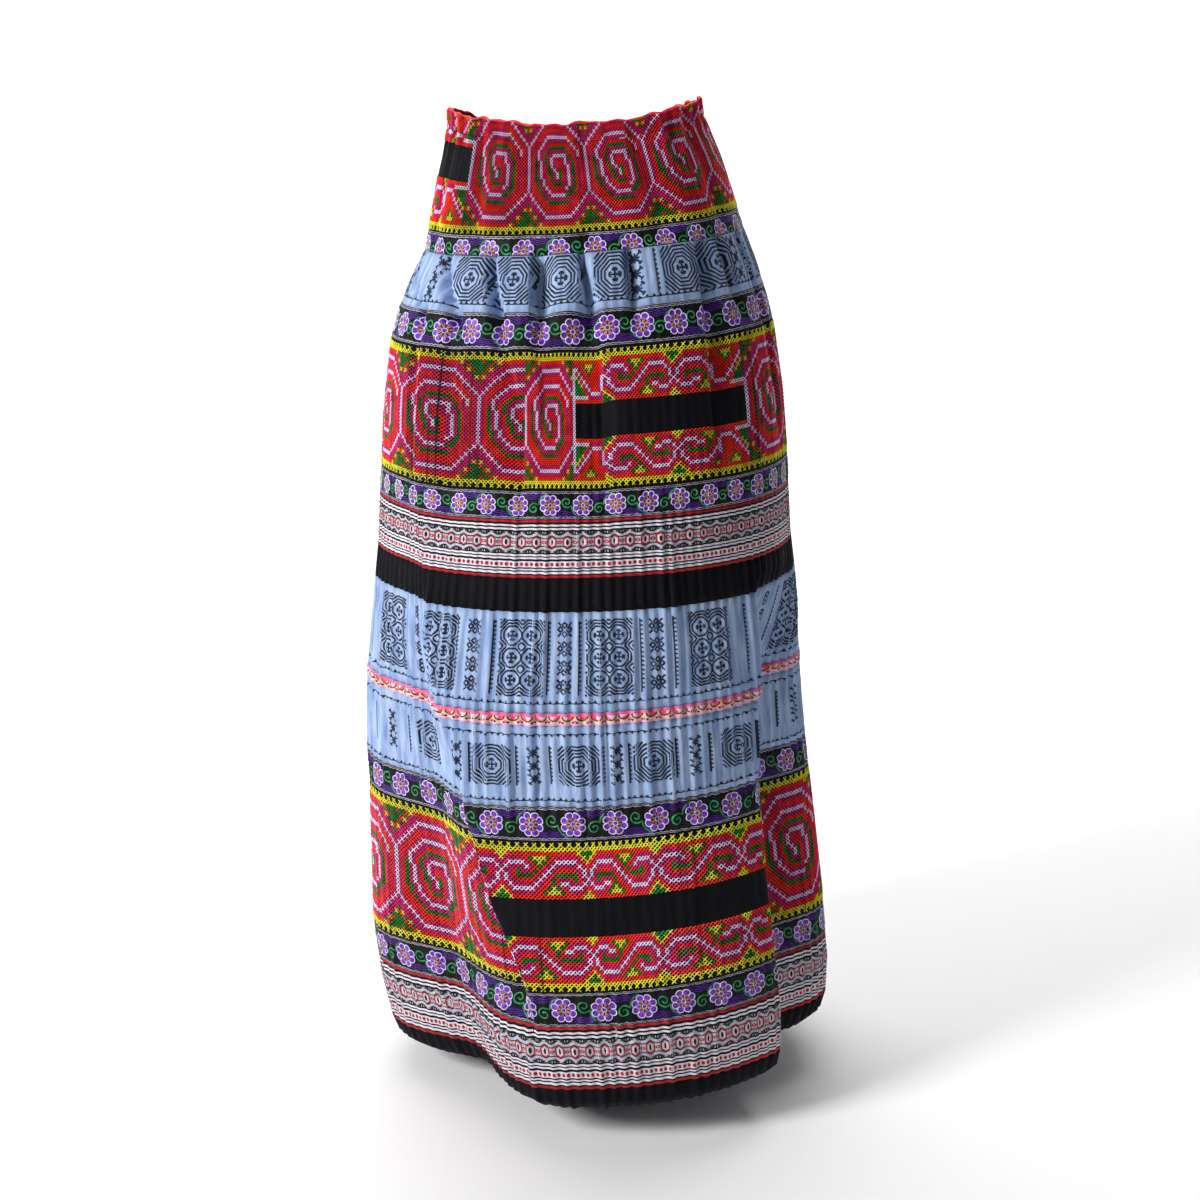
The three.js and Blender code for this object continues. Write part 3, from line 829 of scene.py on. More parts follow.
# In the lower panel the front fold laps over the octagons at its left, so the two charts meet at its edge.
LOWER_ROUND = 1415
LOWER_STITCH, LOWER_LEG = 4.45, 1.18
right_way, wrong_way = scroll_halves(True), scroll_halves(False)
HALF_COLUMNS = 20
half_places = (-177, -90, -3.1, 63.2, 157.1, 237)
front_parts = []
for k, half in enumerate((wrong_way, right_way, wrong_way, right_way, wrong_way)):
    front_parts.append((half, 0, HALF_COLUMNS, half_places[k], half_places[k + 1]))
front_parts += [(scrolls, SCROLLS_WIDE - 12, SCROLLS_WIDE, 237, 268)] + octagons(268, 365, 462, 559)
front_parts += [(scrolls, 0, SCROLLS_WIDE, 559, 847)] + octagons(847, 943.5, LOWER_ROUND - 375)
left_parts = octagons(-375, -277.7, -171.1, -66)


def fold_edge(level):
    """Where the left edge of the front fold lies along the lower panel, at each level."""
    found = []
    for row in (lower_panel["top"], lower_panel["bottom"]):
        edge = read(FOLD_EDGES, row)[0] - LEFT_STEP["width"] / 2
        found.append(np.interp(edge, FINE_TURNS, way_round(row)[1]) * lower_panel["around"])
    return np.interp(-level, (-lower_panel["top"], -lower_panel["bottom"]), found)


lower_stitches = []
for side_name, parts, keep in (
    ("front", front_parts, lambda along, level: along >= fold_edge(level)),
    ("left", left_parts, lambda along, level: along < fold_edge(level)),
):
    chart, edges = spread(parts)
    lower_stitches += stitch(
        "lower_panel_" + side_name, lower_panel, yellow_edged(chart), edges, LOWER_ROUND, 1.5,
        LOWER_STITCH, LOWER_LEG, keep,
    )
declare("lower_cross_stitch_panel")

# Flower ribbons: machine-embroidered braid on a black woven ground, sewn on flat between the panels.
# Purple eight-petalled flowers edged in white stand between green curls and small purple waves.
# Their rayon thread is smoother than cotton and shines a little more: shaded tone, lit tone.
RIBBON_THREADS = {
    "purple": ("#4A1290", "#7A2EC8"),
    "white": ("#D4CCE2", "#F2ECFA"),
    "gold": ("#A06E1E", "#D6A440"),
    "curl_green": ("#12703A", "#2EA862"),
    "edge_white": ("#8F8A9A", "#C4BECE"),
}
ribbon_threads = {}
for tone, tones in RIBBON_THREADS.items():
    ribbon_threads[tone] = embroidery_cotton("rayon_embroidery_" + tone, *tones, roughness=0.38)
# The ribbon's ground is close-woven black polyester, a little glossier than the cotton.
ribbon_ground = woven(
    "black_woven_ribbon", ("#050508", "#0F0F15"), 0.65, 0.04, 0.8, sheen_tone=BLOOM_TONE, gloss=0.18
)
PETALS = 8
PETAL_EDGE = 0.85
# distance outward and from the middle line, as shares of the flower's radius
PETAL = [(0.24, 0.05), (0.5, 0.19), (0.72, 0.29), (0.9, 0.25), (1.0, 0.08)]
STAMEN = [(0.24, 0.03), (0.6, 0.08)]
RIPPLES = 4
RIPPLE_PITCH = 11.0
RIPPLE_GAP = 1.8
RIPPLE_SIZE = 0.7
EDGE_PITCH = 5.2
EDGE_SIZE = 0.45
WAVE_STEP = 1.7
STROKE_STEP = 2.2
# a step so long that it adds no points to short strokes
UNBROKEN = 9


def stepped(path, closed=False, step=STROKE_STEP):
    """The path with points added so that no part of it is longer than the step."""
    path = np.asarray(path, float)
    ends = np.concatenate([path, path[:1]]) if closed else path
    run = [ends[:1]]
    for a, b in zip(ends[:-1], ends[1:]):
        parts = max(1, math.ceil(np.linalg.norm(b - a) / step))
        run.append(a + (b - a) * (np.arange(1, parts + 1) / parts)[:, None])
    return np.concatenate(run)


def stroke(path, width, lift, rise=0.0, closed=False, step=STROKE_STEP):
    """A line of thread or dye: flat, or raised along its middle."""
    line = stepped(path, closed, step)
    ahead = np.gradient(line, axis=0)
    if closed:
        ahead[0] = ahead[-1] = line[1] - line[-2]
    ahead /= np.maximum(np.linalg.norm(ahead, axis=1), 1e-6)[:, None]
    side = np.stack([-ahead[:, 1], ahead[:, 0]], 1) * width / 2
    rows = [(line - side, lift), (line + side, lift)]
    if rise:
        rows.insert(1, (line, lift + rise))
    points = [np.column_stack([row, np.full(len(line), height)]) for row, height in rows]
    points = np.stack(points, 1).reshape(-1, 3)
    wide = len(rows)
    faces = [
        (i * wide + k, i * wide + k + 1, (i + 1) * wide + k + 1, (i + 1) * wide + k)
        for i in range(len(line) - 1) for k in range(wide - 1)
    ]
    return points, faces


def filled(outline, lift, rise=0.0):
    """A patch of thread or dye inside an outline, as a fan about its middle."""
    outline = np.asarray(outline, float)
    heights = np.append(np.full(len(outline), lift), lift + rise)
    points = np.column_stack([np.vstack([outline, outline.mean(0)]), heights])
    count = len(outline)
    return points, [(i, (i + 1) % count, count) for i in range(count)]


def together(shapes):
    """Several shapes as one."""
    points, faces, start = [], [], 0
    for some, over in shapes:
        points.append(some)
        faces += [tuple(start + i for i in face) for face in over]
        start += len(some)
    return np.concatenate(points), faces


def repeated(shape, places):
    """The shape again at each place: along, down, and 1 or -1 to turn it upside down."""
    points, faces = shape
    moved, over = [], []
    for k, (along, down, way) in enumerate(places):
        moved.append(points * (1, way, 1) + (along, down, 0))
        over += [tuple(i + k * len(points) for i in face) for face in faces]
    return np.concatenate(moved), over


def put(name, cloth, shape, material):
    """The shape laid on the cloth as a piece."""
    points, faces = shape
    piece = add_mesh(name, lay(cloth, points[:, 0], points[:, 1], points[:, 2]), faces, [material], False)
    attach(piece, "root")
    return piece


def oval(x, y, half_x, half_y, count=10):
    """The outline of an oval about a middle."""
    angles = np.linspace(0, 2 * math.pi, count, endpoint=False)
    return np.stack([x + np.cos(angles) * half_x, y + np.sin(angles) * half_y], 1)


def flower(radius):
    """The parts of one flower by thread."""
    parts = {"purple": [], "white": [], "gold": []}
    for k in range(PETALS):
        turn = 2 * math.pi * (k + 0.5) / PETALS
        way, side = np.array([math.cos(turn), math.sin(turn)]), np.array([-math.sin(turn), math.cos(turn)])
        half = [way * radius * out + side * radius * wide for out, wide in PETAL]
        back = [way * radius * out - side * radius * wide for out, wide in PETAL[::-1]]
        parts["purple"].append(filled(half + back, 0.3, 0.3))
        parts["white"].append(stroke(half[1:] + back[:-1], PETAL_EDGE, 0.45, 0.25, step=UNBROKEN))
        for away in (-1, 1):
            stamen = [way * radius * out + side * radius * away * wide for out, wide in STAMEN]
            parts["gold"].append(stroke(stamen, 0.75, 0.6, step=UNBROKEN))
    eye, eye_edge = oval(0, 0, radius * 0.17, radius * 0.17, 8), oval(0, 0, radius * 0.19, radius * 0.19)
    parts["white"].append(stroke(eye_edge, 0.6, 0.75, 0.25, closed=True, step=UNBROKEN))
    parts["purple"].append(filled(eye, 0.75, 0.25))
    return {tone: together(shapes) for tone, shapes in parts.items()}


def curl(radius):
    """A green spiral with a stem that runs off to the side."""
    turns = np.linspace(0, 2.7 * math.pi, 24)
    size = radius * (0.1 + 0.44 * turns / turns[-1])
    spiral = np.stack([-size * np.cos(turns + 0.3), size * np.sin(turns + 0.3) - radius * 0.3], 1)
    stem = spiral[-1] + np.array([(0.06, 0.35), (0.3, 0.75), (0.75, 1.0)]) * radius
    return stroke(np.vstack([spiral, stem]), 1.35, 0.3, 0.35, step=UNBROKEN)


def ripples(length):
    """A bundle of short waves one under the other."""
    across = np.linspace(-length / 2, length / 2, round(length / WAVE_STEP))
    wave = np.sin(across / RIPPLE_PITCH * 2 * math.pi) * RIPPLE_SIZE
    waves = [np.stack([across, wave + RIPPLE_GAP * k], 1) for k in range(RIPPLES)]
    return together([stroke(path, 0.5, 0.3, 0.2, step=UNBROKEN) for path in waves])


def wavy_edges(cloth, edges):
    """A wavy pale line and a straight one along each edge of the ribbon that shows."""
    height = cloth["top"] - cloth["bottom"]
    along = np.arange(0, cloth["around"] + WAVE_STEP, WAVE_STEP)
    wave = np.sin(along / EDGE_PITCH * 2 * math.pi) * EDGE_SIZE
    shapes = []
    for edge in edges:
        wavy, straight = (2.4, 0.9) if edge == "top" else (height - 2.4, height - 0.9)
        shapes.append(stroke(np.stack([along, wavy + wave], 1), 0.65, 0.3, step=UNBROKEN))
        shapes.append(stroke([(0, straight), (cloth["around"], straight)], 0.4, 0.3))
    return shapes


def trimmed(shape, height):
    """The shape cut off just inside the edges of its ribbon."""
    points, faces = shape
    inside = (points[:, 1] > 0.3) & (points[:, 1] < height - 0.3)
    points[:, 1] = np.clip(points[:, 1], 0.2, height - 0.2)
    return points, [face for face in faces if inside[list(face)].any()]


def add_ribbon(name, top, bottom, flower_radius, middle, spacing, start, edges, node_name):
    """A ring of flower ribbon: its ground, flowers, curls, ripples and wavy edges."""
    cloth = cloth_grid(top, bottom)
    pairs = round(cloth["around"] / spacing / 2)
    pitch = cloth["around"] / pairs / 2
    places = [(start + k * pitch, middle, 1) for k in range(2 * pairs)]
    between = [(start + (k + 0.5) * pitch, middle, 1 if k % 2 else -1) for k in range(2 * pairs)]
    reach = flower_radius * 0.62
    under_curls = [(along, down + way * reach, way) for along, down, way in between]
    parts = {tone: [repeated(shape, places)] for tone, shape in flower(flower_radius).items()}
    parts["curl_green"] = [repeated(curl(flower_radius * 1.05), between)]
    parts["purple"].append(repeated(ripples(pitch * 0.74), under_curls))
    parts["edge_white"] = wavy_edges(cloth, edges)
    for tone, shapes in parts.items():
        shape = trimmed(together(shapes), top - bottom)
        put(name + "_" + tone, cloth, shape, ribbon_threads[tone])
    ground = add_cloth(name + "_ground", cloth, [ribbon_ground, black_cotton_back])
    declare(node_name)


# The gathered band is sewn on over the lower half of the yoke ribbon. Columns: name, top, bottom, flower
# radius, middle of the flowers below the top edge, spacing, first flower, wavy edges and solid.
RIBBONS = [
    ("yoke_ribbon", -105.3, -123, 10.4, 14.5, 34, 12, ("top",), "yoke_flower_ribbon"),
    ("upper_ribbon", -174.3, -208, 11.6, 17.0, 34, -8, ("top", "bottom"), "upper_flower_ribbon"),
    ("middle_ribbon", -340.3, -368, 9.8, 14.0, 31, 0, ("top", "bottom"), "middle_flower_ribbon"),
    ("lower_ribbon", -644.3, -678, 12.2, 17.0, 40, -13, ("top", "bottom"), "lower_flower_ribbon"),
    ("bottom_ribbon", -837.3, -874, 12.8, 18.4, 41, 4, ("top", "bottom"), "bottom_flower_ribbon"),
]
for ribbon in RIBBONS:
    add_ribbon(*ribbon)

# Batik bands: pale indigo cotton with its pattern in dark blue, in the manner of wax-resist dyeing.
# The dye lies in the threads, so the lines are flat on the cloth, a little uneven in strength.
# The pale blue runs in faint upright streaks between its tone in shade and its tone in light: painted shade
# and highlight for the light on the crinkle pleats.
batik_cotton = woven(
    "pale_indigo_batik_cotton", ("#748CB8", "#A7BBDB"), 0.85, 0.04, 1.0, sheen_tone="#DCE8FA", even=0.16
)
# The wrong side of the batik, where the dye is greyer and the pattern doesn't come through.
batik_back = woven("batik_wrong_side", ("#7F97BE", "#93A9CC"), 0.9, 0.15, 1.0)
DYE_LIFT = 0.22
DYE_WIDTH = 1.7
TICK_PITCH, TICK = 4.2, 2.4
TOOTH_PITCH, TOOTH = 6.0, 3.0
OCTAGON_CORNER = 0.74
QUARTERS = [(1, 0), (0, 1), (-1, 0), (0, -1)]


def indigo_dye(name, shaded, lit):
    """Dark indigo in cotton: matt, fading toward the blue of the cloth where the wax let it in unevenly."""
    material, tree, shader = new_material(name)
    place = node(tree, "ShaderNodeTexCoord")
    strength = node(
        tree, "ShaderNodeTexNoise", values={"Scale": 90.0, "Detail": 4.0, "Roughness": 0.65},
        links={"Vector": place.outputs["Object"]},
    )
    colour = node(tree, "ShaderNodeValToRGB", links={"Fac": strength.outputs["Fac"]})
    colour.color_ramp.elements[0].position = 0.45
    colour.color_ramp.elements[0].color = linear(shaded)
    colour.color_ramp.elements[1].position = 0.72
    colour.color_ramp.elements[1].color = linear(lit)
    tree.links.new(colour.outputs["Color"], shader.inputs["Base Color"])
    shader.inputs["Roughness"].default_value = 0.85
    return material


batik_dye = indigo_dye("dark_indigo_dye", "#080D1C", "#24365C")


def lines(paths):
    """Lines of dye along paths, a little thicker or thinner from one to the next."""
    return together([stroke(path, DYE_WIDTH * chance.uniform(0.75, 1.25), DYE_LIFT) for path in paths])


def octagon_rings(radii, half):
    """Paths of octagons about a middle, cut off at a square."""
    paths = []
    for radius in radii:
        reach = radius / OCTAGON_CORNER
        flat = reach - radius
        if radius <= half:
            half_ring = [(radius, -flat), (radius, flat), (flat, radius), (-flat, radius)]
            paths.append(half_ring + [(-x, -y) for x, y in half_ring] + half_ring[:1])
            continue
        for x in (-1, 1):
            for y in (-1, 1):
                paths.append([(x * half, y * (reach - half)), (x * (reach - half), y * half)])
    return paths


def hooked_cross(x, y, arm, hook):
    """A cross with two small hooks turned back at the end of each arm."""
    bent = [(arm - hook * 0.8, hook), (arm, hook * 0.5), (arm, -hook * 0.5), (arm - hook * 0.8, -hook)]
    paths = []
    for c, s in QUARTERS:
        for run in ([(0, 0), (arm, 0)], bent):
            paths.append([(x + u * c - v * s, y + u * s + v * c) for u, v in run])
    return paths


def snowflake(x, y, size):
    """Crossing diagonals and short bars with little bars across their ends."""
    paths = []
    for turn in range(8):
        angle = turn * math.pi / 4
        reach = size if turn % 2 else size * 0.62
        end = (x + reach * math.cos(angle), y + reach * math.sin(angle))
        paths.append([(x, y), end])
        if turn % 2:
            across = (-math.sin(angle) * size * 0.3, math.cos(angle) * size * 0.3)
            paths.append([(end[0] - across[0], end[1] - across[1]), (end[0] + across[0], end[1] + across[1])])
    return paths


def toothed_line(half):
    """An upright line with short teeth along one side."""
    paths = [[(0, -half), (0, half)]]
    for k in range(int(2 * half / TICK_PITCH)):
        down = (k + 0.5) * TICK_PITCH - half
        paths.append([(0, down), (TICK, down)])
    return paths


def toothed_row(cloth, down, way):
    """A level line all the way round, with a row of triangular teeth along it."""
    count = round(cloth["around"] / TOOTH_PITCH)
    step = cloth["around"] / count
    line = stroke([(0, down), (cloth["around"], down)], 1.0, DYE_LIFT)
    tooth = filled([(-step * 0.36, 0), (step * 0.36, 0), (0, way * TOOTH)], DYE_LIFT)
    return together([line, repeated(tooth, [(k * step, down, 1) for k in range(count)])])


# what the back of a band repeats and where in each repeat; the last repeat has only the first two
BACK_RUN = (("line", 0.14), ("column", 0.3), ("line", 0.46), ("motif", 0.75))


def add_batik(name, cloth, kinds, front, unit, middle, rows, node_name):
    """A band of batik cotton: its motifs as they lie at the front, and the same run on round the back."""
    items = list(front)
    start, gap = front[-1][1], cloth["around"] - (front[-1][1] - front[0][1])
    count = round(gap / unit)
    for k in range(count):
        for kind, share in BACK_RUN if k < count - 1 else BACK_RUN[:2]:
            items.append((kind, start + gap / count * (k + share)))
    shapes = []
    for kind, paths in kinds.items():
        places = [(along, middle, 1) for which, along in items if which == kind]
        shapes.append(repeated(lines(paths), places))
    shapes += [toothed_row(cloth, down, way) for down, way in rows]
    dyed = put(name + "_dyed_pattern", cloth, together(shapes), batik_dye)
    band = add_cloth(name + "_cloth", cloth, [batik_cotton, batik_back])
    declare(node_name)


octagon_kinds = {
    "motif": octagon_rings((9.6, 12.8, 16.0, 19.2, 22.4, 25.6), 20) + hooked_cross(0, 0, 5.4, 2.4),
    "line": toothed_line(20),
    "column": [path for down in (-13.5, 0, 13.5) for path in snowflake(0, down, 6.6)],
}
# what is printed, and where its middle lies along the band from the front
GATHERED_FRONT = [
    ("column", -160), ("motif", -113), ("line", -92), ("motif", -66), ("motif", -20), ("motif", 31),
    ("column", 53), ("line", 71), ("motif", 98), ("line", 122), ("motif", 144), ("column", 170),
]
OCTAGON_FRONT = [
    ("line", -295), ("column", -261), ("line", -236), ("motif", -200), ("column", -129), ("line", -115),
    ("motif", -91), ("line", -66), ("column", -49), ("line", -33), ("motif", -5), ("line", 18),
    ("column", 32), ("line", 44), ("motif", 68), ("line", 91), ("column", 111), ("line", 127), ("motif", 160),
    ("line", 186), ("column", 203), ("line", 216), ("motif", 239), ("line", 300), ("column", 327),
]
gathered = cloth_grid(-123.3, -174)
add_batik(
    "gathered_batik", gathered, octagon_kinds, GATHERED_FRONT, 78, 21, [(43.5, -1)], "gathered_batik_band"
)
octagon_band = cloth_grid(-563.3, -644)
add_batik(
    "octagon_batik", octagon_band, octagon_kinds, OCTAGON_FRONT, 88, 40, [(8.5, 1), (75, -1)],
    "octagon_motif_batik_band",
)

BOX_HALF = (22.5, 36)
BOX_CELL = 1.9
BOX_CENTRES = [(x, y) for x in (-9.5, 9.5) for y in (-21, 0, 21)]


def octagonal(x, y):
    """How far a place is from a middle, counted in octagons."""
    return np.maximum(np.maximum(np.abs(x), np.abs(y)), OCTAGON_CORNER * (np.abs(x) + np.abs(y)))


def cell_cuts(across, down, away, r, c):
    """Where the line on which a field is nought crosses the sides of one cell."""
    corners = [(r, c), (r, c + 1), (r + 1, c + 1), (r + 1, c)]
    cuts = []
    for (r0, c0), (r1, c1) in zip(corners, corners[1:] + corners[:1]):
        here, there = away[r0, c0], away[r1, c1]
        if here * there < 0:
            share = here / (here - there)
            cut_along = across[c0] + share * (across[c1] - across[c0])
            cuts.append((cut_along, down[r0] + share * (down[r1] - down[r0])))
    return cuts


def box_outlines(radii):
    """Short lines where the octagonal distance from the nearest of the six crosses has a set value."""
    across = np.arange(-BOX_HALF[0], BOX_HALF[0] + BOX_CELL, BOX_CELL)
    down = np.arange(-BOX_HALF[1], BOX_HALF[1] + BOX_CELL, BOX_CELL)
    x, y = np.meshgrid(across, down)
    nearest = np.min([octagonal(x - a, y - b) for a, b in BOX_CENTRES], axis=0)
    paths = []
    for radius in radii:
        away = nearest - radius
        cells = [(r, c) for r in range(len(down) - 1) for c in range(len(across) - 1)]
        found = [cell_cuts(across, down, away, r, c) for r, c in cells]
        paths += [cuts for cuts in found if len(cuts) == 2]
    return paths


def small_diamonds(x, y, size):
    """Four little diamonds about a middle, with ticks at the corners."""
    r = size * 0.62
    paths = []
    for u, v in QUARTERS:
        paths.append([(x + u * size + a * r, y + v * size + b * r) for a, b in QUARTERS + QUARTERS[:1]])
    for u in (-1, 1):
        for v in (-1, 1):
            paths.append([(x + u * size * far, y + v * size * far) for far in (0.9, 1.6)])
    return paths


box_motif = box_outlines((8.9, 11.6, 14.3, 17.0, 19.7, 22.4))
for cross_x, cross_y in BOX_CENTRES:
    box_motif += hooked_cross(cross_x, cross_y, 4.6, 2.0)
box_kinds = {
    "motif": box_motif,
    "line": toothed_line(35),
    "column": [path for down in (-27, -9, 9, 27) for path in small_diamonds(0, down, 4.2)],
}
BOX_FRONT = [
    ("line", -288), ("motif", -243), ("column", -196), ("motif", -152), ("line", -128), ("column", -109),
    ("line", -89), ("motif", -60), ("line", -34), ("column", -18), ("line", -4), ("motif", 25), ("line", 56),
    ("column", 72), ("line", 89), ("motif", 128), ("line", 172), ("line", 205), ("column", 230),
    ("line", 253), ("motif", 288),
]
box_band = cloth_grid(-456.3, -551)
add_batik("box_batik", box_band, box_kinds, BOX_FRONT, 92, 43, [(86, -1)], "box_motif_batik_band")

# Stripe bands: close-woven cotton tape in fine black, white and dark red stripes.
# A chain of dark red links runs along its pale middle between black marks, with a row of red dots below.
# The tape's cottons are matt and tightly woven, so the stripes stay crisp and don't shine.
stripe_cottons = {
    "black": woven("black_tape_cotton", ("#070709", "#121116"), 0.75, 0.04, 0.9, gloss=0.15),
    "white": woven("undyed_tape_cotton", ("#C2BCC6", "#E4E0E8"), 0.8, 0.03, 0.9),
    "red": woven("dark_red_tape_cotton", ("#90060F", "#B80E1A"), 0.75, 0.02, 0.9),
    "grey": woven("grey_tape_cotton", ("#9896A2", "#C8C8D4"), 0.8, 0.02, 0.9),
}
# The figures are a softer cotton that floats on the tape, a little rounder and duller than embroidery.
tape_threads = {
    "red": embroidery_cotton("dark_red_tape_thread", "#8A0A18", "#B8182A", 0.6),
    "pale": embroidery_cotton("undyed_tape_thread", "#BEB8C2", "#E4E0E8", 0.6),
    "black": embroidery_cotton("black_tape_thread", "#060608", "#17161C", 0.7),
}
# share of the height from the top where each stripe ends, and its cotton
STRIPES = [
    (0.04, "red"), (0.08, "black"), (0.112, "white"), (0.141, "black"), (0.173, "white"), (0.207, "black"),
    (0.33, "grey"), (0.45, "grey"), (0.565, "grey"), (0.592, "black"), (0.624, "white"), (0.646, "black"),
    (0.676, "white"), (0.715, "black"), (0.82, "white"), (0.846, "black"), (0.872, "white"), (0.896, "black"),
    (0.932, "white"), (0.958, "black"), (1.0, "red"),
]
LINK_PITCH = 15
DOT_PITCH = 4.9
# corners of a link, as shares of the pitch and of the chain's half height
LINK = [(-0.27, 0), (-0.27, -0.55), (0, -1), (0.27, -0.55), (0.27, 0.55), (0, 1), (-0.27, 0.55)]
# black marks beside the chain: place along, place out from its middle, half width
MARKS = ((-0.3, 1.72, 0.12), (-0.17, 1.5, 0.1), (0, 1.38, 0.14), (0.17, 1.5, 0.1), (0.3, 1.72, 0.12))
MARKS_END = 1.95
ZIGZAG = [(-0.5, -1.2), (-0.27, -0.85), (0, -0.7), (0.27, -0.85), (0.5, -1.2)]


def chain_marks(step, tall):
    """The black marks on one side of the chain between two links: bars, stalks and a zigzag."""
    marks = []
    for x, y, wide in MARKS:
        marks.append(stroke([((x - wide) * step, -y * tall), ((x + wide) * step, -y * tall)], 1.3, DYE_LIFT))
        marks.append(stroke([(x * step, -(y + 0.1) * tall), (x * step, -MARKS_END * tall)], 1.5, DYE_LIFT))
    marks.append(stroke([(x * step, y * tall) for x, y in ZIGZAG], 1.1, DYE_LIFT))
    return together(marks)


def add_stripes(name, top, bottom, node_name):
    """A ring of striped tape with its chain and its row of dots."""
    height = top - bottom
    cloth = cloth_grid(top, bottom, [top] + [top - share * height for share, _ in STRIPES])
    count = round(cloth["around"] / LINK_PITCH)
    step = cloth["around"] / count
    middle, tall = height * 0.385, height * 0.094
    link = [(x * step, y * tall) for x, y in LINK]
    inner = [(x * step * 0.6, y * tall * 0.68) for x, y in LINK[1:]]
    square = [(-0.1 * step, -1.1), (0.1 * step, -1.1), (0.1 * step, 1.1), (-0.1 * step, 1.1)]
    links = [(k * step, middle, 1) for k in range(count)]
    between = [((k + 0.5) * step, middle, way) for k in range(count) for way in (1, -1)]
    dots = round(cloth["around"] / DOT_PITCH)
    dot_step = cloth["around"] / dots
    dot = filled(oval(0, 0, 1.75, height * 0.034, 8), DYE_LIFT)
    red = [
        repeated(stroke(link, 1.5, DYE_LIFT, closed=True), links),
        repeated(stroke(square, 1.2, DYE_LIFT, closed=True), between[::2]),
    ]
    for side in (-1, 1):
        bar = stroke([(side * 0.2 * step, 0), (side * 0.12 * step, 0)], 1.0, DYE_LIFT)
        red.append(repeated(bar, between[::2]))
    red.append(repeated(dot, [(k * dot_step, height * 0.768, 1) for k in range(dots)]))
    pale = [repeated(filled(inner, DYE_LIFT), links)]
    black = [
        repeated(filled(oval(0, 0, 0.1 * step, 0.55 * tall, 8), DYE_LIFT + 0.1), links),
        repeated(chain_marks(step, tall), between),
    ]
    for tone, shapes in (("red", red), ("pale", pale), ("black", black)):
        shape = together(shapes)
        put(name + "_" + tone + "_links", cloth, shape, tape_threads[tone])
    order = list(stripe_cottons)
    materials = [stripe_cottons[tone] for tone in order] + [black_cotton_back]
    band = add_cloth(name + "_tape", cloth, materials, [order.index(tone) for _, tone in STRIPES])
    declare(node_name)
    return cloth


add_stripes("upper_stripes", -368.3, -424, "upper_stripe_band")
lower_tape = add_stripes("lower_stripes", -874.3, -944, "lower_stripe_band")

# A loose end of undyed sewing thread: it hangs from the seam over the lower stripes, near the middle.
# It is cotton twisted like the tape's, and nothing but the seam holds it.
LOOSE_THREAD = [(11, 0.4), (14, 3), (12.5, 6.5), (15, 10), (12, 13.5), (13, 18)]
loose_end = stroke(LOOSE_THREAD, 0.7, 0.8, 0.5)
put("loose_thread_end", lower_tape, loose_end, tape_threads["pale"])

# Pink trim: a narrow jacquard braid sewn over the join of the two batik bands, so it stands a little proud.
# Red-pink scallops hang from its upper edge, with dark leaves and a pink bud between them.
# Its yarns are shiny, so the scallops catch the light over the matter ground.
trim_yarns = {
    "pink": embroidery_cotton("pink_braid_yarn", "#D82E78", "#F45AA0", 0.45),
    "red": embroidery_cotton("red_braid_yarn", "#D8305A", "#F4587A", 0.45),
    "dark": embroidery_cotton("dark_braid_yarn", "#2A1020", "#4A2034", 0.55),
    "yellow": embroidery_cotton("yellow_braid_yarn", "#C8B040", "#EAD468", 0.45),
}
trim_pink = woven("pink_braid_ground", ("#DC4A84", "#F476AA"), 0.6, 0.1, 0.8)
trim_pale = woven("pale_braid_ground", ("#CFB4C2", "#E8D4DE"), 0.7, 0.1, 0.8)
SCALLOP_PITCH = 13.4
trim = cloth_grid(-551.3, -563, [-551.3, -554.1, -557.5, -561.6, -562.4, -563])
trim["points"] = trim["points"] + trim["normal"] * 0.8
scallops = round(trim["around"] / SCALLOP_PITCH)
scallop_step = trim["around"] / scallops
bow = np.linspace(0, math.pi, 9)
scallop = np.stack([np.cos(bow) * scallop_step * 0.4, 2.7 + np.sin(bow) * 4.6], 1)
rim_line = np.stack([np.cos(bow) * scallop_step * 0.49, 2.6 + np.sin(bow) * 5.9], 1)
at = [(k * scallop_step, 0, 1) for k in range(scallops)]
half_way = [((k + 0.5) * scallop_step, 8.0, 1) for k in range(scallops)]
leaves = together([filled(oval(x, 0.6, 1.3, 1.2, 7), 0.2) for x in (-1.6, 1.6)])
bud = filled([(-1.5, 0), (0, -2.0), (1.5, 0), (0, 1.4)], 0.3)
for part_name, shape, places, tone in (
    ("trim_scallops", filled(scallop, 0.15, 0.25), at, "red"),
    ("trim_scallop_edges", stroke(scallop, 1.1, 0.3, 0.15), at, "dark"),
    ("trim_scallop_rims", stroke(rim_line, 0.8, 0.2, 0.15), at, "yellow"),
    ("trim_leaves", leaves, half_way, "dark"),
    ("trim_buds", bud, half_way, "pink"),
):
    put(part_name, trim, repeated(shape, places), trim_yarns[tone])
trim_band = add_cloth("pink_trim_braid", trim, [trim_pink, trim_pale, batik_back], [0, 1, 1, 0, 1])
declare("pink_trim")

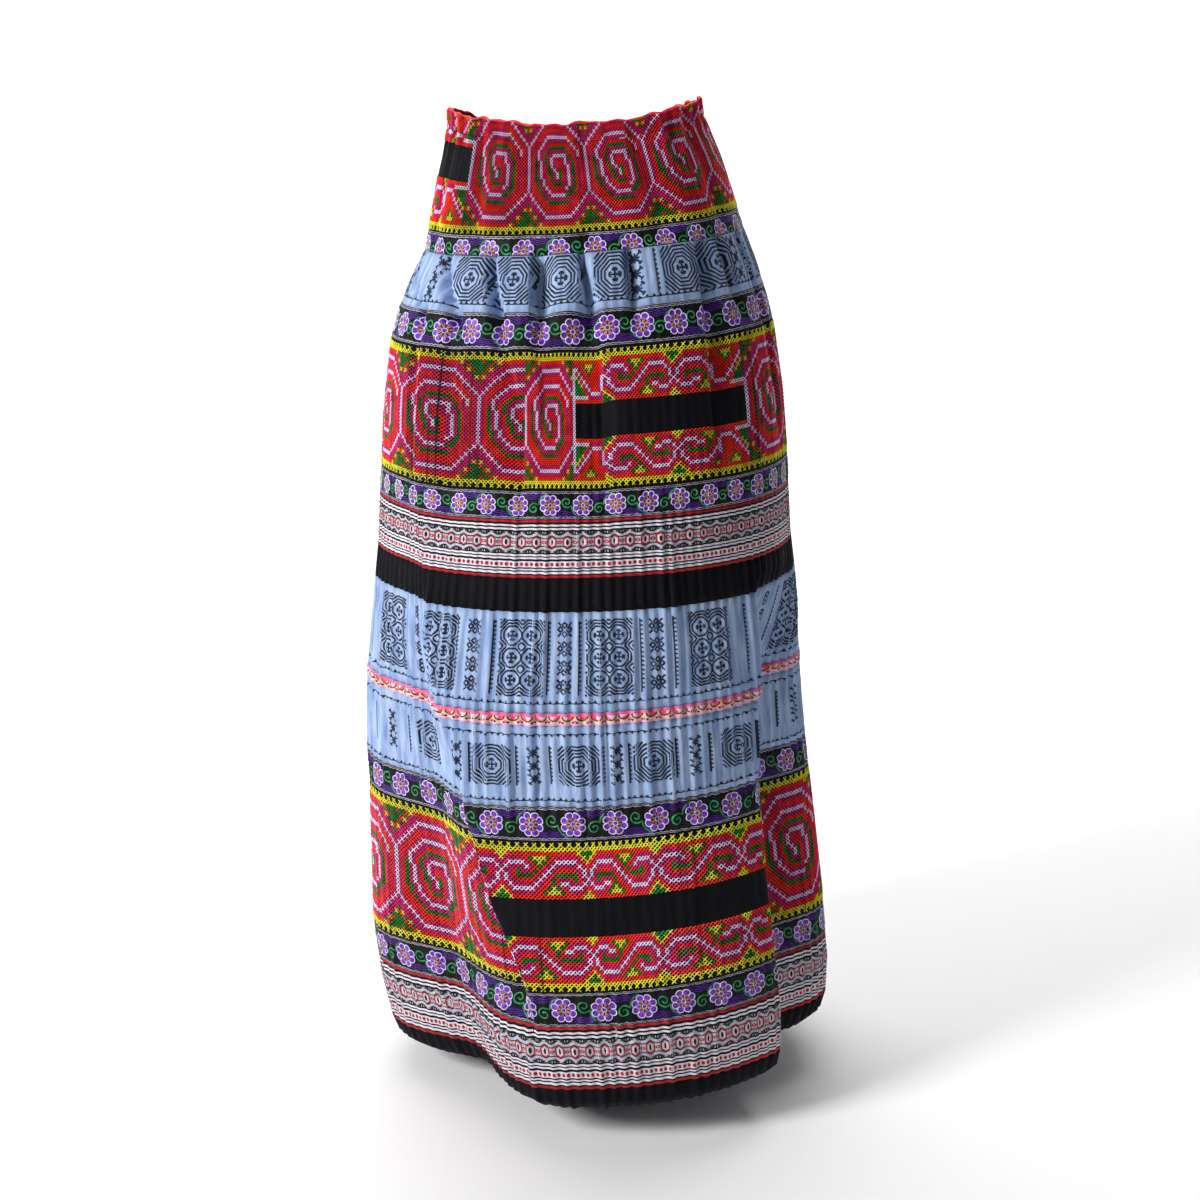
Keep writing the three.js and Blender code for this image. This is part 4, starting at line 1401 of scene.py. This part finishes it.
# Rim of the casing: the stitched cloth turns over the elastic here, so its edge is a soft uneven roll.
# The turned edge is covered with the same red stitching.
RIM_ROLL = 1.4
ROLL_SIDES = 8
rim_points, rim_outward = casing["points"][0][::INSIDE_EVERY], casing["normal"][0][::INSIDE_EVERY]
count = len(rim_points)
place = np.arange(count) / count * 2 * math.pi
uneven = 0.28 * np.sin(place * WAIST_PUCKERS + 0.7 * np.sin(place * 5)) + 0.1 * np.sin(place * 97)
bulge = RIM_ROLL * (1 + uneven)
roll, roll_faces = [], []
for k in range(ROLL_SIDES):
    turn = 2 * math.pi * k / ROLL_SIDES
    middle = rim_points - rim_outward * 0.9
    around, above = (bulge * math.cos(turn))[:, None], (bulge * math.sin(turn))[:, None]
    roll.append(middle + rim_outward * around + np.array([0, 0, 1]) * above)
    for i in range(count):
        j, m = (i + 1) % count, (k + 1) % ROLL_SIDES
        roll_faces.append((k * count + i, k * count + j, m * count + j, m * count + i))
rim_roll = add_mesh("waist_rim_roll", np.concatenate(roll), roll_faces, [threads["R"]])
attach(rim_roll, "root")

# The end of the black tape of the casing: a small corner of it stands up from the rim at the right.
# It is the same matt cotton as the black of the stripes, caught in the seam that closes the casing.
TAPE_AT = 0.212
TAPE_THICK = 1.2
TAPE_CORNER = [(-10, -1), (-5, 2.4), (0, 4.6), (3.5, 5), (4, 2.5), (3, -3), (-4, -3)]
corners = len(TAPE_CORNER)
tape_column = round((TAPE_AT + 0.5) * count)
tape_foot, tape_out = rim_points[tape_column], rim_outward[tape_column]
tape_side = np.array([-tape_out[1], tape_out[0], 0]) / math.hypot(tape_out[0], tape_out[1])
tape_faces = [tuple(range(corners)), tuple(range(2 * corners - 1, corners - 1, -1))]
tape_faces += [(i, i + corners, (i + 1) % corners + corners, (i + 1) % corners) for i in range(corners)]
tape_points = [
    tape_foot + tape_side * x + np.array([0, 0, z]) + tape_out * (depth + 0.08 * z)
    for depth in (TAPE_THICK / 2, -TAPE_THICK / 2) for x, z in TAPE_CORNER
]
tape_end = add_mesh("casing_tape_end", tape_points, tape_faces, [tape_threads["black"]], False)
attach(tape_end, "root")
